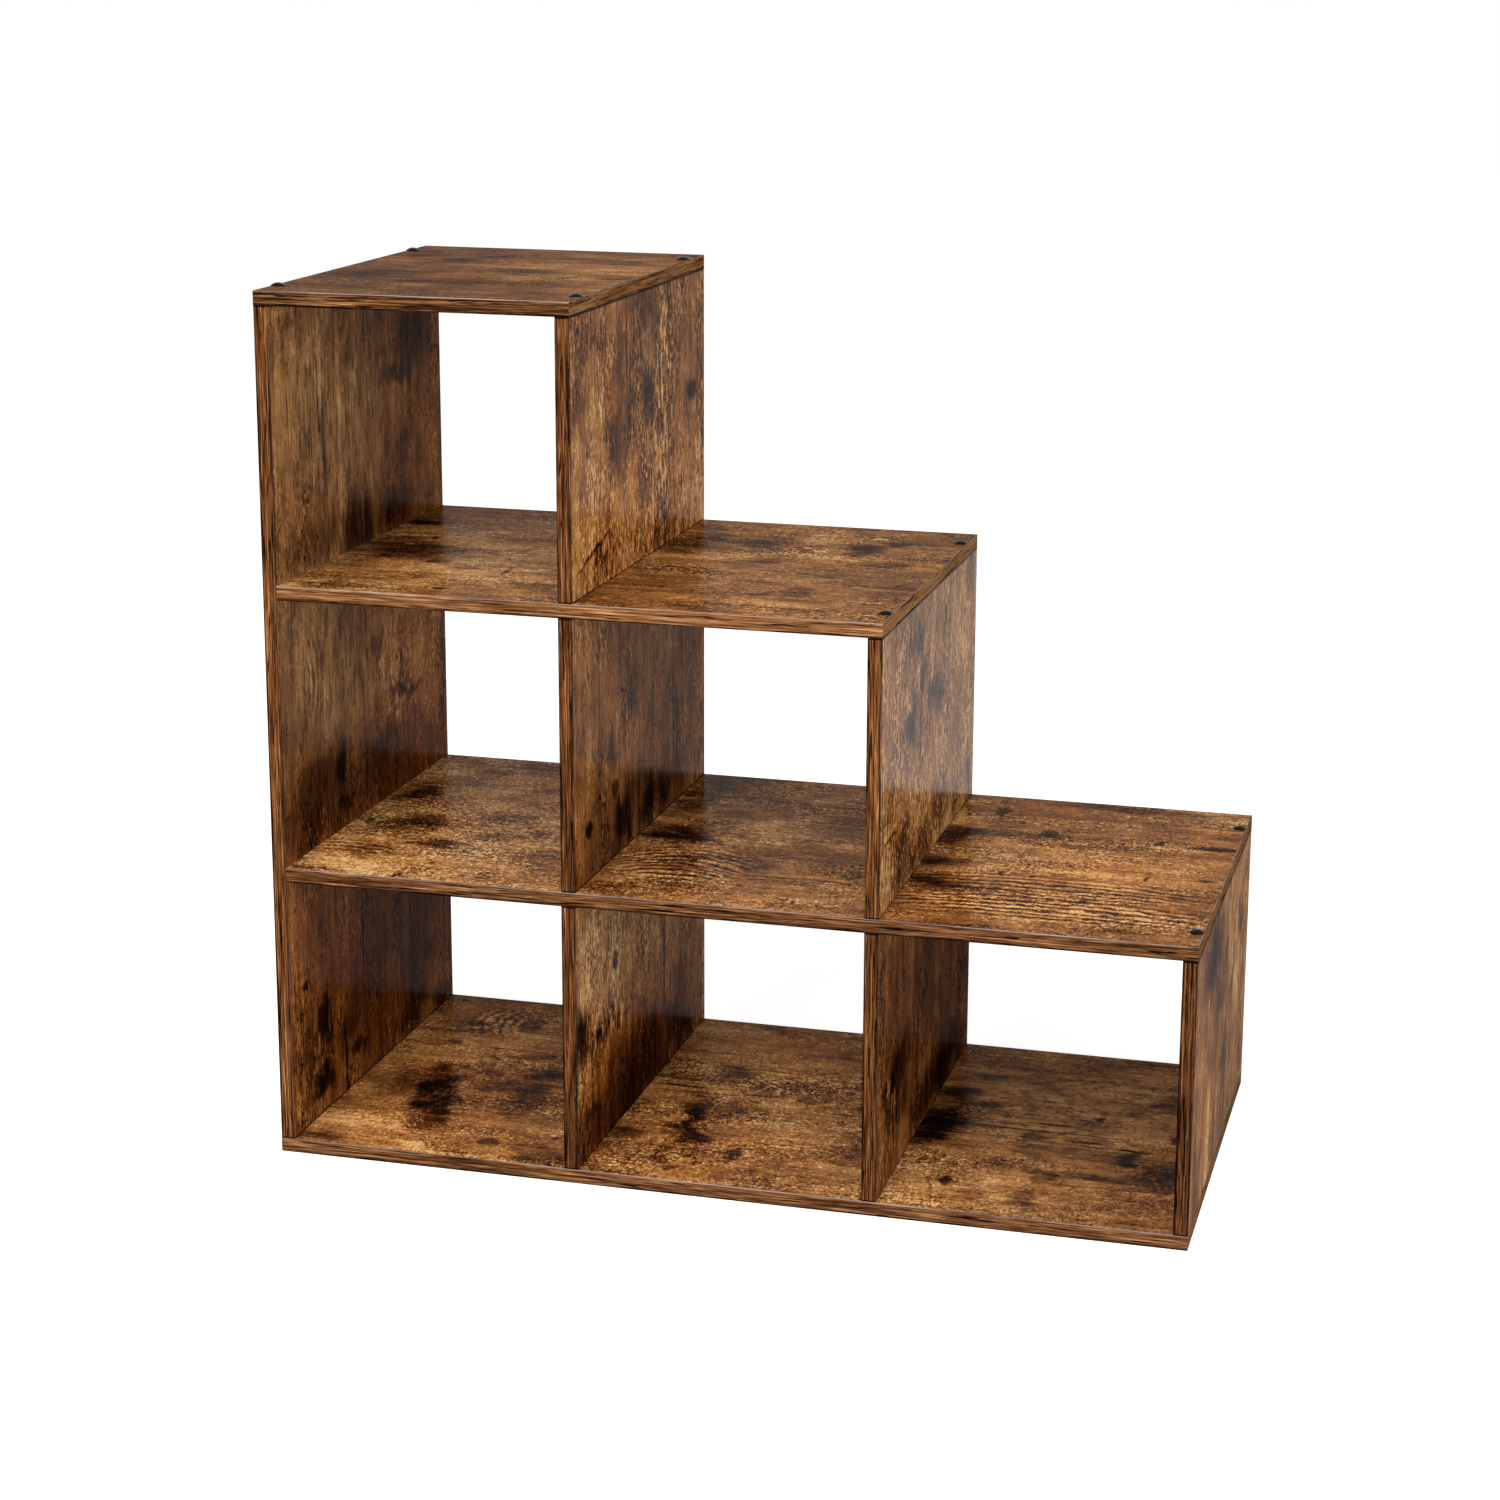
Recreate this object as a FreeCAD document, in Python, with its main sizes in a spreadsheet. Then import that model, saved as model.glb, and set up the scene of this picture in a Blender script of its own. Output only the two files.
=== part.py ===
"""Stepped cube bookshelf: three columns of open cells that climb from one cell to three.

The carcass is eleven edge-banded boards. The left side runs the full height between the bottom board
and the top board. Two shelves start at its inner face and run out over the uprights below them, and
each step of the stair is the free end of a shelf. Stepped screws pull every board tight, dowels locate
the joints, and domed caps cover the screw heads that show.

Frame: +X to the right, +Y to the back, +Z up, origin under the middle of the base. Millimetres.
"""

import FreeCAD, Part
import os
import Sketcher

V = FreeCAD.Vector
DOC = FreeCAD.newDocument("stepped_cube_bookshelf")
COLUMNS = 3
ROWS = 3

# Driving dimensions: alias, millimetres, meaning
SIZES = [
    ("cell_width", "268.5", "clear width of a cell"),
    ("cell_height", "254", "clear height of a cell"),
    ("depth", "420", "front to back, over the edge bands"),
    ("board", "13.5", "board thickness"),
    ("band", "1", "edge band thickness"),
    ("band_arris", "0.6", "radius on the outer corners of an edge band"),
    ("screw_front", "40", "front face to the front screws"),
    ("screw_back", "51", "back face to the back screws"),
    ("screw_length", "50", "stepped screw, over its head"),
    ("head_diameter", "10", "screw head"),
    ("head_height", "3", "screw head, sunk flush"),
    ("neck_diameter", "7", "smooth neck of the screw, inside the board it clamps"),
    ("thread_diameter", "6.8", "thread crest"),
    ("core_diameter", "4.6", "thread root"),
    ("thread_pitch", "3.2", "distance between thread crests"),
    ("tip_length", "3", "pointed end of the screw"),
    ("socket_width", "4", "hexagon socket across flats"),
    ("socket_depth", "2.4", "hexagon socket depth"),
    ("dowel_diameter", "8", "locating dowel"),
    ("dowel_length", "30", "locating dowel"),
    ("dowel_sunk", "9", "part of a locating dowel inside the board's face"),
    ("dowel_spacing", "64", "screw to the dowel beside it"),
    ("dowel_chamfer", "1", "chamfer on a dowel's ends"),
    ("through_reach", "18", "reach of a through dowel into each upright"),
    ("cap_diameter", "13", "cover cap"),
    ("cap_rise", "3.2", "cover cap above the board"),
    ("cap_rim", "0.7", "straight rim under the cap's dome"),
    ("stem_diameter", "3.4", "cap stem, inside the screw's socket"),
    ("stem_length", "2", "cap stem"),
    ("clearance", "0.1", "radial play of screws and dowels in their holes"),
    ("end_gap", "1", "spare depth past the end of a screw or dowel"),
]

SHEET = DOC.addObject("Spreadsheet::Sheet", "dims")
for row, (alias, size, meaning) in enumerate(SIZES, start=1):
    SHEET.set(f"A{row}", size)
    SHEET.setAlias(f"A{row}", alias)
    SHEET.set(f"B{row}", meaning)
DOC.recompute()


def value(expression):
    """The number that an expression of the sheet's sizes gives now."""
    return float(SHEET.evalExpression(expression))


# Expressions for the places that boards and fasteners share
PITCH_X = "(dims.cell_width + dims.board)"
PITCH_Z = "(dims.cell_height + dims.board)"
TOTAL_WIDTH = f"({COLUMNS} * {PITCH_X} + dims.board)"
HALF_BOARD = "(dims.board / 2)"
SCREW_ROWS = ["dims.screw_front", "(dims.depth - dims.screw_back)"]
DOWEL_ROWS = [
    "(dims.screw_front + dims.dowel_spacing)",
    "(dims.depth - dims.screw_back - dims.dowel_spacing)",
]
HEAD_HOLE = "(dims.head_diameter + 2 * dims.clearance)"
NECK_HOLE = "(dims.neck_diameter + 2 * dims.clearance)"
THREAD_HOLE = "(dims.thread_diameter + 2 * dims.clearance)"
DOWEL_HOLE = "(dims.dowel_diameter + 2 * dims.clearance)"
THREAD_DEPTH = "(dims.screw_length - dims.board + dims.end_gap)"
DOWEL_END_DEPTH = "(dims.dowel_length - dims.dowel_sunk + dims.end_gap)"
DOWEL_FACE_DEPTH = "(dims.dowel_sunk + dims.end_gap)"
THROUGH_END_DEPTH = "(dims.through_reach + dims.end_gap)"


def column_x(column):
    """Left face of an upright: column 0 is the left side, column 3 the right end."""
    return f"({column} * {PITCH_X} - {TOTAL_WIDTH} / 2)"


def upright_x(column):
    """Middle of an upright's thickness."""
    return f"({column_x(column)} + {HALF_BOARD})"


def level_z(level):
    """Underside of a level board: level 0 is the bottom board, level 3 the top board."""
    return f"({level} * {PITCH_Z})"


def depth_y(from_front):
    """A distance from the front face as a place on Y."""
    return f"({from_front} - dims.depth / 2)"


def put(thing, x, y, z, *turns):
    """Places an object, its base bound to the sheet. Each turn is (axis, degrees), the last one first."""
    rotation = FreeCAD.Rotation()
    for axis, degrees in turns:
        rotation = rotation.multiply(FreeCAD.Rotation(axis, degrees))
    thing.Placement = FreeCAD.Placement(V(value(x), value(y), value(z)), rotation)
    for letter, expression in zip("xyz", (x, y, z)):
        thing.setExpression(f"Placement.Base.{letter}", expression)


def new_sketch(body, role, name, offset=None):
    """A sketch on one of the body's own origin planes, moved off it along its normal if asked."""
    sketch = body.newObject("Sketcher::SketchObject", name)
    plane = next(f for f in body.Origin.OriginFeatures if f.Role == role)
    sketch.AttachmentSupport = [(plane, "")]
    sketch.MapMode = "FlatFace"
    if offset:
        sketch.setExpression("AttachmentOffset.Base.z", offset)
    return sketch


def pin_point(sketch, geometry, end, x, y):
    """Holds one point of a sketch at two expressions, measured from the sketch's origin."""
    for kind, axis, expression in (("DistanceX", -2, x), ("DistanceY", -1, y)):
        if expression == "0":
            sketch.addConstraint(Sketcher.Constraint("PointOnObject", geometry, end, axis))
            continue
        place = value(expression)
        number = sketch.addConstraint(Sketcher.Constraint(kind, -1, 1, geometry, end, place))
        sketch.setExpression(f"Constraints[{number}]", expression)


def draw_outline(sketch, points, dome=None):
    """A closed outline through points given as expressions. Segment number dome is an arc about the V axis."""
    places = [V(value(x), value(y), 0) for x, y in points]
    count = len(points)
    for i in range(count):
        start, end = places[i], places[(i + 1) % count]
        if i == dome:
            # The arc starts at the axis, so its centre is where the two ends are equally far
            run, fall = end.x, start.y - end.y
            radius = (run**2 + fall**2) / (2 * fall)
            centre = V(0, start.y - radius, 0)
            ring = Part.Circle(centre, V(0, 0, 1), radius)
            sketch.addGeometry(Part.ArcOfCircle(ring, ring.parameter(end), ring.parameter(start)))
            sketch.addConstraint(Sketcher.Constraint("PointOnObject", i, 3, -2))
        else:
            sketch.addGeometry(Part.LineSegment(start, end))
    for i in range(count):
        following = (i + 1) % count
        last = 1 if i == dome else 2
        first = 2 if following == dome else 1
        sketch.addConstraint(Sketcher.Constraint("Coincident", i, last, following, first))
    for i, (x, y) in enumerate(points):
        pin_point(sketch, i, 2 if i == dome else 1, x, y)


def draw_circle(sketch, x, y, diameter):
    """A circle whose centre and diameter are expressions."""
    size = value(diameter)
    circle = sketch.addGeometry(Part.Circle(V(value(x), value(y), 0), V(0, 0, 1), size / 2))
    pin_point(sketch, circle, 3, x, y)
    number = sketch.addConstraint(Sketcher.Constraint("Diameter", circle, size))
    sketch.setExpression(f"Constraints[{number}]", diameter)


def pad(body, sketch, length, name):
    """Pads a sketch along its plane's normal."""
    feature = body.newObject("PartDesign::Pad", name)
    feature.Profile = sketch
    feature.setExpression("Length", length)
    return feature


def revolve(body, sketch, name):
    """Turns a sketch right round its V axis."""
    feature = body.newObject("PartDesign::Revolution", name)
    feature.Profile = sketch
    feature.ReferenceAxis = (sketch, ["V_Axis"])
    feature.Angle = 360
    return feature


# Boards lie along their own X, from the front at Y 0 to the back, with their thickness on Z.
# Drilled faces: plane, offset of the sketch, whether the cut runs along the plane's normal
def drill_face(face, length):
    """The sketch plane of a board's face or end."""
    return {
        "top": ("XY_Plane", "dims.board", False),
        "under": ("XY_Plane", None, True),
        "start": ("YZ_Plane", None, True),
        "finish": ("YZ_Plane", length, False),
    }[face]


def drill(body, length, face, name, diameter, depth, spots):
    """One set of equal holes in a board. Spots are (x, y) on a face and (y, z) on an end."""
    role, offset, along_normal = drill_face(face, length)
    sketch = new_sketch(body, role, f"{name}_{face}_spots", offset)
    for x, y in spots:
        draw_circle(sketch, x, y, diameter)
    pocket = body.newObject("PartDesign::Pocket", f"{name}_{face}")
    pocket.Profile = sketch
    pocket.setExpression("Length", depth)
    pocket.Reversed = along_normal


def face_spots(places, rows):
    """Every place along the board crossed with every row of its depth."""
    return [(x, y) for x in places for y in rows]


def end_spots(rows):
    """Every row of the depth, halfway through the board's thickness."""
    return [(y, HALF_BOARD) for y in rows]


def drill_screws(body, length, face, places):
    """Stepped holes for screws whose heads are sunk in this face."""
    spots = face_spots(places, SCREW_ROWS)
    drill(body, length, face, "heads", HEAD_HOLE, "dims.head_height", spots)
    drill(body, length, face, "necks", NECK_HOLE, "dims.board", spots)


def drill_dowels(body, length, face, places, through=False):
    """Dowel holes in a face: blind for locating dowels, or right through."""
    depth = "dims.board" if through else DOWEL_FACE_DEPTH
    name = "through_dowels" if through else "dowels"
    drill(body, length, face, name, DOWEL_HOLE, depth, face_spots(places, DOWEL_ROWS))


def drill_end(body, length, end, screwed=True, through=False):
    """Holes in a board's end: screw threads where it is screwed, and dowels."""
    if screwed:
        drill(body, length, end, "threads", THREAD_HOLE, THREAD_DEPTH, end_spots(SCREW_ROWS))
    depth = THROUGH_END_DEPTH if through else DOWEL_END_DEPTH
    drill(body, length, end, "dowels", DOWEL_HOLE, depth, end_spots(DOWEL_ROWS))


def make_board(label, length, banded_ends=()):
    """A board's core, inside its edge bands. Banded ends are start, finish or both."""
    body = DOC.addObject("PartDesign::Body", label)
    sketch = new_sketch(body, "XY_Plane", "outline")
    left = "dims.band" if "start" in banded_ends else "0"
    right = f"({length} - dims.band)" if "finish" in banded_ends else length
    front, back = "dims.band", "(dims.depth - dims.band)"
    draw_outline(sketch, [(left, front), (right, front), (right, back), (left, back)])
    pad(body, sketch, "dims.board", "slab")
    return body


def make_strip(label, length):
    """One length of edge band: it runs along X, its outer face is at Y 0, and its arrises are rounded."""
    body = DOC.addObject("PartDesign::Body", label)
    sketch = new_sketch(body, "YZ_Plane", "section")
    corners = [("0", "0"), ("dims.band", "0"), ("dims.band", "dims.board"), ("0", "dims.board")]
    draw_outline(sketch, corners)
    strip = pad(body, sketch, length, "strip")
    DOC.recompute()
    edges = [f"Edge{i}" for i, edge in enumerate(strip.Shape.Edges, start=1) if is_outer_arris(edge)]
    arris = body.newObject("PartDesign::Fillet", "arris")
    arris.Base = (strip, edges)
    arris.setExpression("Radius", "dims.band_arris")
    return body


def is_outer_arris(edge):
    """Whether an edge of a strip runs along X at its outer face."""
    box = edge.BoundBox
    return box.XLength > box.ZLength and box.YMax < value("dims.band") / 2


def make_group(label, links):
    """A node of several separate solids."""
    group = DOC.addObject("Part::Compound", label)
    group.Links = links
    return group


def link_to(master, x, y, z, *turns):
    """A copy of a master piece at its own place."""
    link = DOC.addObject("App::Link", f"{master.Name}_copy")
    link.LinkedObject = master
    put(link, x, y, z, *turns)
    return link


X_AXIS, Y_AXIS, Z_AXIS = V(1, 0, 0), V(0, 1, 0), V(0, 0, 1)
UPRIGHT = (Y_AXIS, -90)
FRONT_Y = depth_y("0")
BACK_Y = depth_y("dims.depth")
NODES = []
STRIPS = {}


def strip_of(length):
    """The master strip of a length, made once."""
    if length not in STRIPS:
        STRIPS[length] = make_strip(f"strip_{len(STRIPS) + 1}", length)
    return STRIPS[length]


def place_level(body, length, left, under, banded_ends=()):
    """Lays a board flat and gives it its edge bands."""
    put(body, left, FRONT_Y, under)
    right = f"({left} + {length})"
    side = strip_of(length)
    links = [
        link_to(side, left, FRONT_Y, under),
        link_to(side, right, BACK_Y, under, (Z_AXIS, 180)),
    ]
    across = "(dims.depth - 2 * dims.band)"
    if "start" in banded_ends:
        back = f"({BACK_Y} - dims.band)"
        links.append(link_to(strip_of(across), left, back, under, (Z_AXIS, -90)))
    if "finish" in banded_ends:
        front = f"({FRONT_Y} + dims.band)"
        links.append(link_to(strip_of(across), right, front, under, (Z_AXIS, 90)))
    bands = make_group(f"{body.Label}_edge_bands", links)
    NODES.extend([body, bands])


def place_upright(body, length, column, foot):
    """Stands a board on end and gives it its front and back edge bands."""
    right = f"({column_x(column)} + dims.board)"
    put(body, right, FRONT_Y, foot, UPRIGHT)
    head = f"({foot} + {length})"
    strip = strip_of(length)
    links = [
        link_to(strip, right, FRONT_Y, foot, UPRIGHT),
        link_to(strip, right, BACK_Y, head, UPRIGHT, (Z_AXIS, 180)),
    ]
    bands = make_group(f"{body.Label}_edge_bands", links)
    NODES.extend([body, bands])


def make_bottom_board():
    """Carries the four uprights of the lowest row, screwed up through its underside."""
    ends = ("start", "finish")
    body = make_board("bottom_board", TOTAL_WIDTH, ends)
    places = [f"({column} * {PITCH_X} + {HALF_BOARD})" for column in range(COLUMNS + 1)]
    drill_screws(body, TOTAL_WIDTH, "under", places)
    drill_dowels(body, TOTAL_WIDTH, "top", places)
    place_level(body, TOTAL_WIDTH, column_x(0), level_z(0), ends)


def make_shelf(label, level, columns):
    """Starts at the left side's inner face and ends over the upright of its last column."""
    length = f"({columns} * {PITCH_X})"
    body = make_board(label, length, ("finish",))
    crossings = [f"({column} * {PITCH_X} - {HALF_BOARD})" for column in range(1, columns)]
    free_end = [f"({length} - {HALF_BOARD})"]
    drill_end(body, length, "start")
    drill_screws(body, length, "under", crossings)
    drill_dowels(body, length, "top", crossings, through=True)
    drill_screws(body, length, "top", free_end)
    drill_dowels(body, length, "under", free_end)
    place_level(body, length, f"({column_x(0)} + dims.board)", level_z(level), ("finish",))


def make_top_board():
    """Closes the tall column, screwed down into the left side and the upper right side."""
    length = f"({PITCH_X} + dims.board)"
    ends = ("start", "finish")
    body = make_board("top_board", length, ends)
    places = [HALF_BOARD, f"({length} - {HALF_BOARD})"]
    drill_screws(body, length, "top", places)
    drill_dowels(body, length, "under", places)
    place_level(body, length, column_x(0), level_z(ROWS), ends)


def make_left_side():
    """Runs from the bottom board to the top board, and carries the left ends of both shelves."""
    length = f"({ROWS} * {PITCH_Z} - dims.board)"
    body = make_board("left_side", length)
    shelf_middles = [f"({level} * {PITCH_Z} - {HALF_BOARD})" for level in range(1, ROWS)]
    drill_end(body, length, "start")
    drill_end(body, length, "finish")
    drill_screws(body, length, "top", shelf_middles)
    drill_dowels(body, length, "under", shelf_middles)
    place_upright(body, length, 0, f"({level_z(0)} + dims.board)")


def make_upright(label, column, row):
    """One cell high. Its foot is screwed to the board below, and its head to a shelf's free end or doweled."""
    length = "dims.cell_height"
    body = make_board(label, length)
    crossed_below = row > 0
    crossed_above = column + row < COLUMNS
    drill_end(body, length, "start", through=crossed_below)
    drill_end(body, length, "finish", screwed=not crossed_above, through=crossed_above)
    place_upright(body, length, column, f"({level_z(row)} + dims.board)")


def make_screw():
    """Stepped furniture screw: head at Z 0, tip along +Z, crests spaced by the thread's pitch."""
    body = DOC.addObject("PartDesign::Body", "screw_master")
    sketch = new_sketch(body, "XZ_Plane", "profile")
    head, neck = "(dims.head_diameter / 2)", "(dims.neck_diameter / 2)"
    crest, root = "(dims.thread_diameter / 2)", "(dims.core_diameter / 2)"
    thread_end = "(dims.screw_length - dims.tip_length)"
    points = [("0", "0"), (head, "0"), (head, "dims.head_height"), (neck, "dims.head_height")]
    points += [(neck, "dims.board"), (root, "dims.board")]
    run = f"({thread_end} - dims.board)"
    turns = round(value(f"{run} / dims.thread_pitch"))
    for turn in range(turns):
        points.append((crest, f"(dims.board + {run} * {turn + 0.5} / {turns})"))
        points.append((root, f"(dims.board + {run} * {turn + 1} / {turns})"))
    points.append(("0", "dims.screw_length"))
    draw_outline(sketch, points)
    revolve(body, sketch, "shank")
    socket = body.newObject("PartDesign::SubtractivePrism", "socket")
    socket.Polygon = 6
    socket.setExpression("Circumradius", "dims.socket_width / sqrt(3)")
    socket.setExpression("Height", "dims.socket_depth")
    return body


def make_dowel(label, length):
    """Round hardwood dowel along Z with chamfered ends."""
    body = DOC.addObject("PartDesign::Body", label)
    sketch = new_sketch(body, "XZ_Plane", "profile")
    radius = "(dims.dowel_diameter / 2)"
    waist = f"({radius} - dims.dowel_chamfer)"
    points = [("0", "0"), (waist, "0"), (radius, "dims.dowel_chamfer")]
    points += [(radius, f"({length} - dims.dowel_chamfer)"), (waist, length), ("0", length)]
    draw_outline(sketch, points)
    revolve(body, sketch, "peg")
    return body


def make_cap():
    """Domed cover cap: its stem starts at Z 0 and plugs into the screw's socket."""
    body = DOC.addObject("PartDesign::Body", "cap_master")
    sketch = new_sketch(body, "XZ_Plane", "profile")
    stem, rim = "(dims.stem_diameter / 2)", "(dims.cap_diameter / 2)"
    seat = "dims.stem_length"
    shoulder = f"({seat} + dims.cap_rim)"
    crown = f"({seat} + dims.cap_rise)"
    points = [("0", crown), (rim, shoulder), (rim, seat), (stem, seat), (stem, "0"), ("0", "0")]
    draw_outline(sketch, points, dome=0)
    revolve(body, sketch, "dome")
    return body


DOWN, LEFTWARD, RIGHTWARD = (X_AXIS, 180), (Y_AXIS, -90), (Y_AXIS, 90)


def fasten_down(label, places, z):
    """Screws and caps driven down at each (x, z) place, with dowels below the board's underside."""
    screws, caps, dowels = [], [], []
    for x in places:
        for row in SCREW_ROWS:
            screws.append(link_to(SCREW, x, depth_y(row), f"({z} + dims.board)", DOWN))
            seat = f"({z} + dims.board - dims.stem_length)"
            caps.append(link_to(CAP, x, depth_y(row), seat))
        for row in DOWEL_ROWS:
            dowels.append(link_to(DOWEL, x, depth_y(row), f"({z} + dims.dowel_sunk)", DOWN))
    NODES.append(make_group(f"{label}_screws", screws))
    NODES.append(make_group(f"{label}_caps", caps))
    NODES.append(make_group(f"{label}_dowels", dowels))


def fasten_left_side():
    """Screws and caps driven into the shelves' left ends through the left side, with dowels."""
    screws, caps, dowels = [], [], []
    face = column_x(0)
    for level in range(1, ROWS):
        z = f"({level_z(level)} + {HALF_BOARD})"
        for row in SCREW_ROWS:
            screws.append(link_to(SCREW, face, depth_y(row), z, RIGHTWARD))
            seat = f"({face} + dims.stem_length)"
            caps.append(link_to(CAP, seat, depth_y(row), z, LEFTWARD))
        for row in DOWEL_ROWS:
            start = f"({face} + dims.board - dims.dowel_sunk)"
            dowels.append(link_to(DOWEL, start, depth_y(row), z, RIGHTWARD))
    NODES.append(make_group("left_side_screws", screws))
    NODES.append(make_group("left_side_caps", caps))
    NODES.append(make_group("left_side_dowels", dowels))


def fasten_bottom():
    """Screws driven up through the bottom board, with dowels in its top face."""
    screws, dowels = [], []
    for column in range(COLUMNS + 1):
        x = upright_x(column)
        for row in SCREW_ROWS:
            screws.append(link_to(SCREW, x, depth_y(row), level_z(0)))
        for row in DOWEL_ROWS:
            start = f"({level_z(0)} + dims.board - dims.dowel_sunk)"
            dowels.append(link_to(DOWEL, x, depth_y(row), start))
    NODES.append(make_group("bottom_board_screws", screws))
    NODES.append(make_group("bottom_board_dowels", dowels))


def fasten_crossings():
    """Where uprights meet above and below a shelf: hidden screws from below and dowels right through."""
    screws, dowels = [], []
    for level in range(1, ROWS):
        for column in range(1, COLUMNS - level + 1):
            x = upright_x(column)
            for row in SCREW_ROWS:
                screws.append(link_to(SCREW, x, depth_y(row), level_z(level)))
            for row in DOWEL_ROWS:
                start = f"({level_z(level)} - dims.through_reach)"
                dowels.append(link_to(THROUGH_DOWEL, x, depth_y(row), start))
    NODES.append(make_group("crossing_screws", screws))
    NODES.append(make_group("crossing_dowels", dowels))


def check_and_write():
    """Stops if any object failed or a cut removed nothing, then writes one STEP file per node."""
    for thing in DOC.Objects:
        if {"Invalid", "Error"} & set(thing.State):
            raise RuntimeError(f"{thing.Label} failed: {thing.State}")
        if thing.TypeId == "PartDesign::Pocket":
            before, after = thing.BaseFeature.Shape.Volume, thing.Shape.Volume
            if before - after < value("dims.clearance"):
                raise RuntimeError(f"{thing.Label} cuts nothing")
    os.makedirs("parts", exist_ok=True)
    for node in NODES:
        shape = node.Shape
        if shape.isNull() or not shape.isValid() or not shape.Solids:
            raise RuntimeError(f"{node.Label} has no valid solid")
        shape.exportStep(f"parts/{node.Label}.step")
        print(f"{node.Label}: {len(shape.Solids)} solids, {shape.Volume:.0f} mm3")


make_bottom_board()
make_shelf("lower_shelf", 1, 3)
make_shelf("upper_shelf", 2, 2)
make_top_board()
make_left_side()
make_upright("lower_left_divider", 1, 0)
make_upright("lower_right_divider", 2, 0)
make_upright("lower_right_side", 3, 0)
make_upright("middle_divider", 1, 1)
make_upright("middle_right_side", 2, 1)
make_upright("upper_right_side", 1, 2)

SCREW = make_screw()
CAP = make_cap()
DOWEL = make_dowel("dowel_master", "dims.dowel_length")
THROUGH_DOWEL = make_dowel("through_dowel_master", "(dims.board + 2 * dims.through_reach)")

fasten_down("top_board", [upright_x(0), upright_x(1)], level_z(3))
fasten_down("upper_shelf", [upright_x(2)], level_z(2))
fasten_down("lower_shelf", [upright_x(3)], level_z(1))
fasten_left_side()
fasten_crossings()
fasten_bottom()

DOC.recompute()
check_and_write()
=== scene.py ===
"""Looks of the stepped cube bookshelf: printed wood boards, edge bands, cover caps and a white studio."""

import logging
import math
from dataclasses import dataclass
from enum import Enum
from functools import partial
from typing import ClassVar, Optional, Sequence, Union

import bpy
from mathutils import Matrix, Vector


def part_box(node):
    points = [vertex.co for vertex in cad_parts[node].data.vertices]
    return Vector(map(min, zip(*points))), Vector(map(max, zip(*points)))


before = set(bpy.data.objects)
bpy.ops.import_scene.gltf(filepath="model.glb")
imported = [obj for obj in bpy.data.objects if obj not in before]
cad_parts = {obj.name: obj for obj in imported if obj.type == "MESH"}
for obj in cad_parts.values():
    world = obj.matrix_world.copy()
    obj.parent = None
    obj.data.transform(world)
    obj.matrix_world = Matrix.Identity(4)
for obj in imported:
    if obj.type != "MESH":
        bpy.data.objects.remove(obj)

LOG = logging.getLogger("bookshelf")

Triple = tuple[float, float, float]
Colour = Triple
Socket = bpy.types.NodeSocket
Feed = Union[Socket, float, Sequence[float]]

MM_PER_M = 1000
WHITE: Colour = (1.0, 1.0, 1.0)
# Waves of the print per metre through a board, which make its two faces differ
THROUGH = 60.0


class GrainAxis(Enum):
    """The way a board's grain runs, and the row axes that lie along, across and through it."""

    LEVEL = (0, 1, 2)
    UPRIGHT = (2, 1, 0)

    @property
    def along(self) -> int:
        """The row axis along the grain."""
        return self.value[0]

    @property
    def through(self) -> int:
        """The row axis through the board."""
        return self.value[2]


class MarkKind(Enum):
    """What a mark in the printed wood shows."""

    # Burnt patches include one broad wash of painted shade over the bottom row of the left wall
    BURN = "burnt patch"
    # Broad golden patches over the left cells of the shelves are painted light
    GLOW = "golden patch"
    KNOT = "knot"
    CRACK = "crack"
    RINGS = "growth rings"
    FLAKE = "torn, flaky grain, or calm grain below nought"
    ASH = "greyed patch, or a reddened one below nought"

    @property
    def adds_up(self) -> bool:
        """Whether overlapping marks of this kind add up, where of others the strongest shows."""
        return self in (MarkKind.RINGS, MarkKind.FLAKE, MarkKind.ASH)


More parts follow.
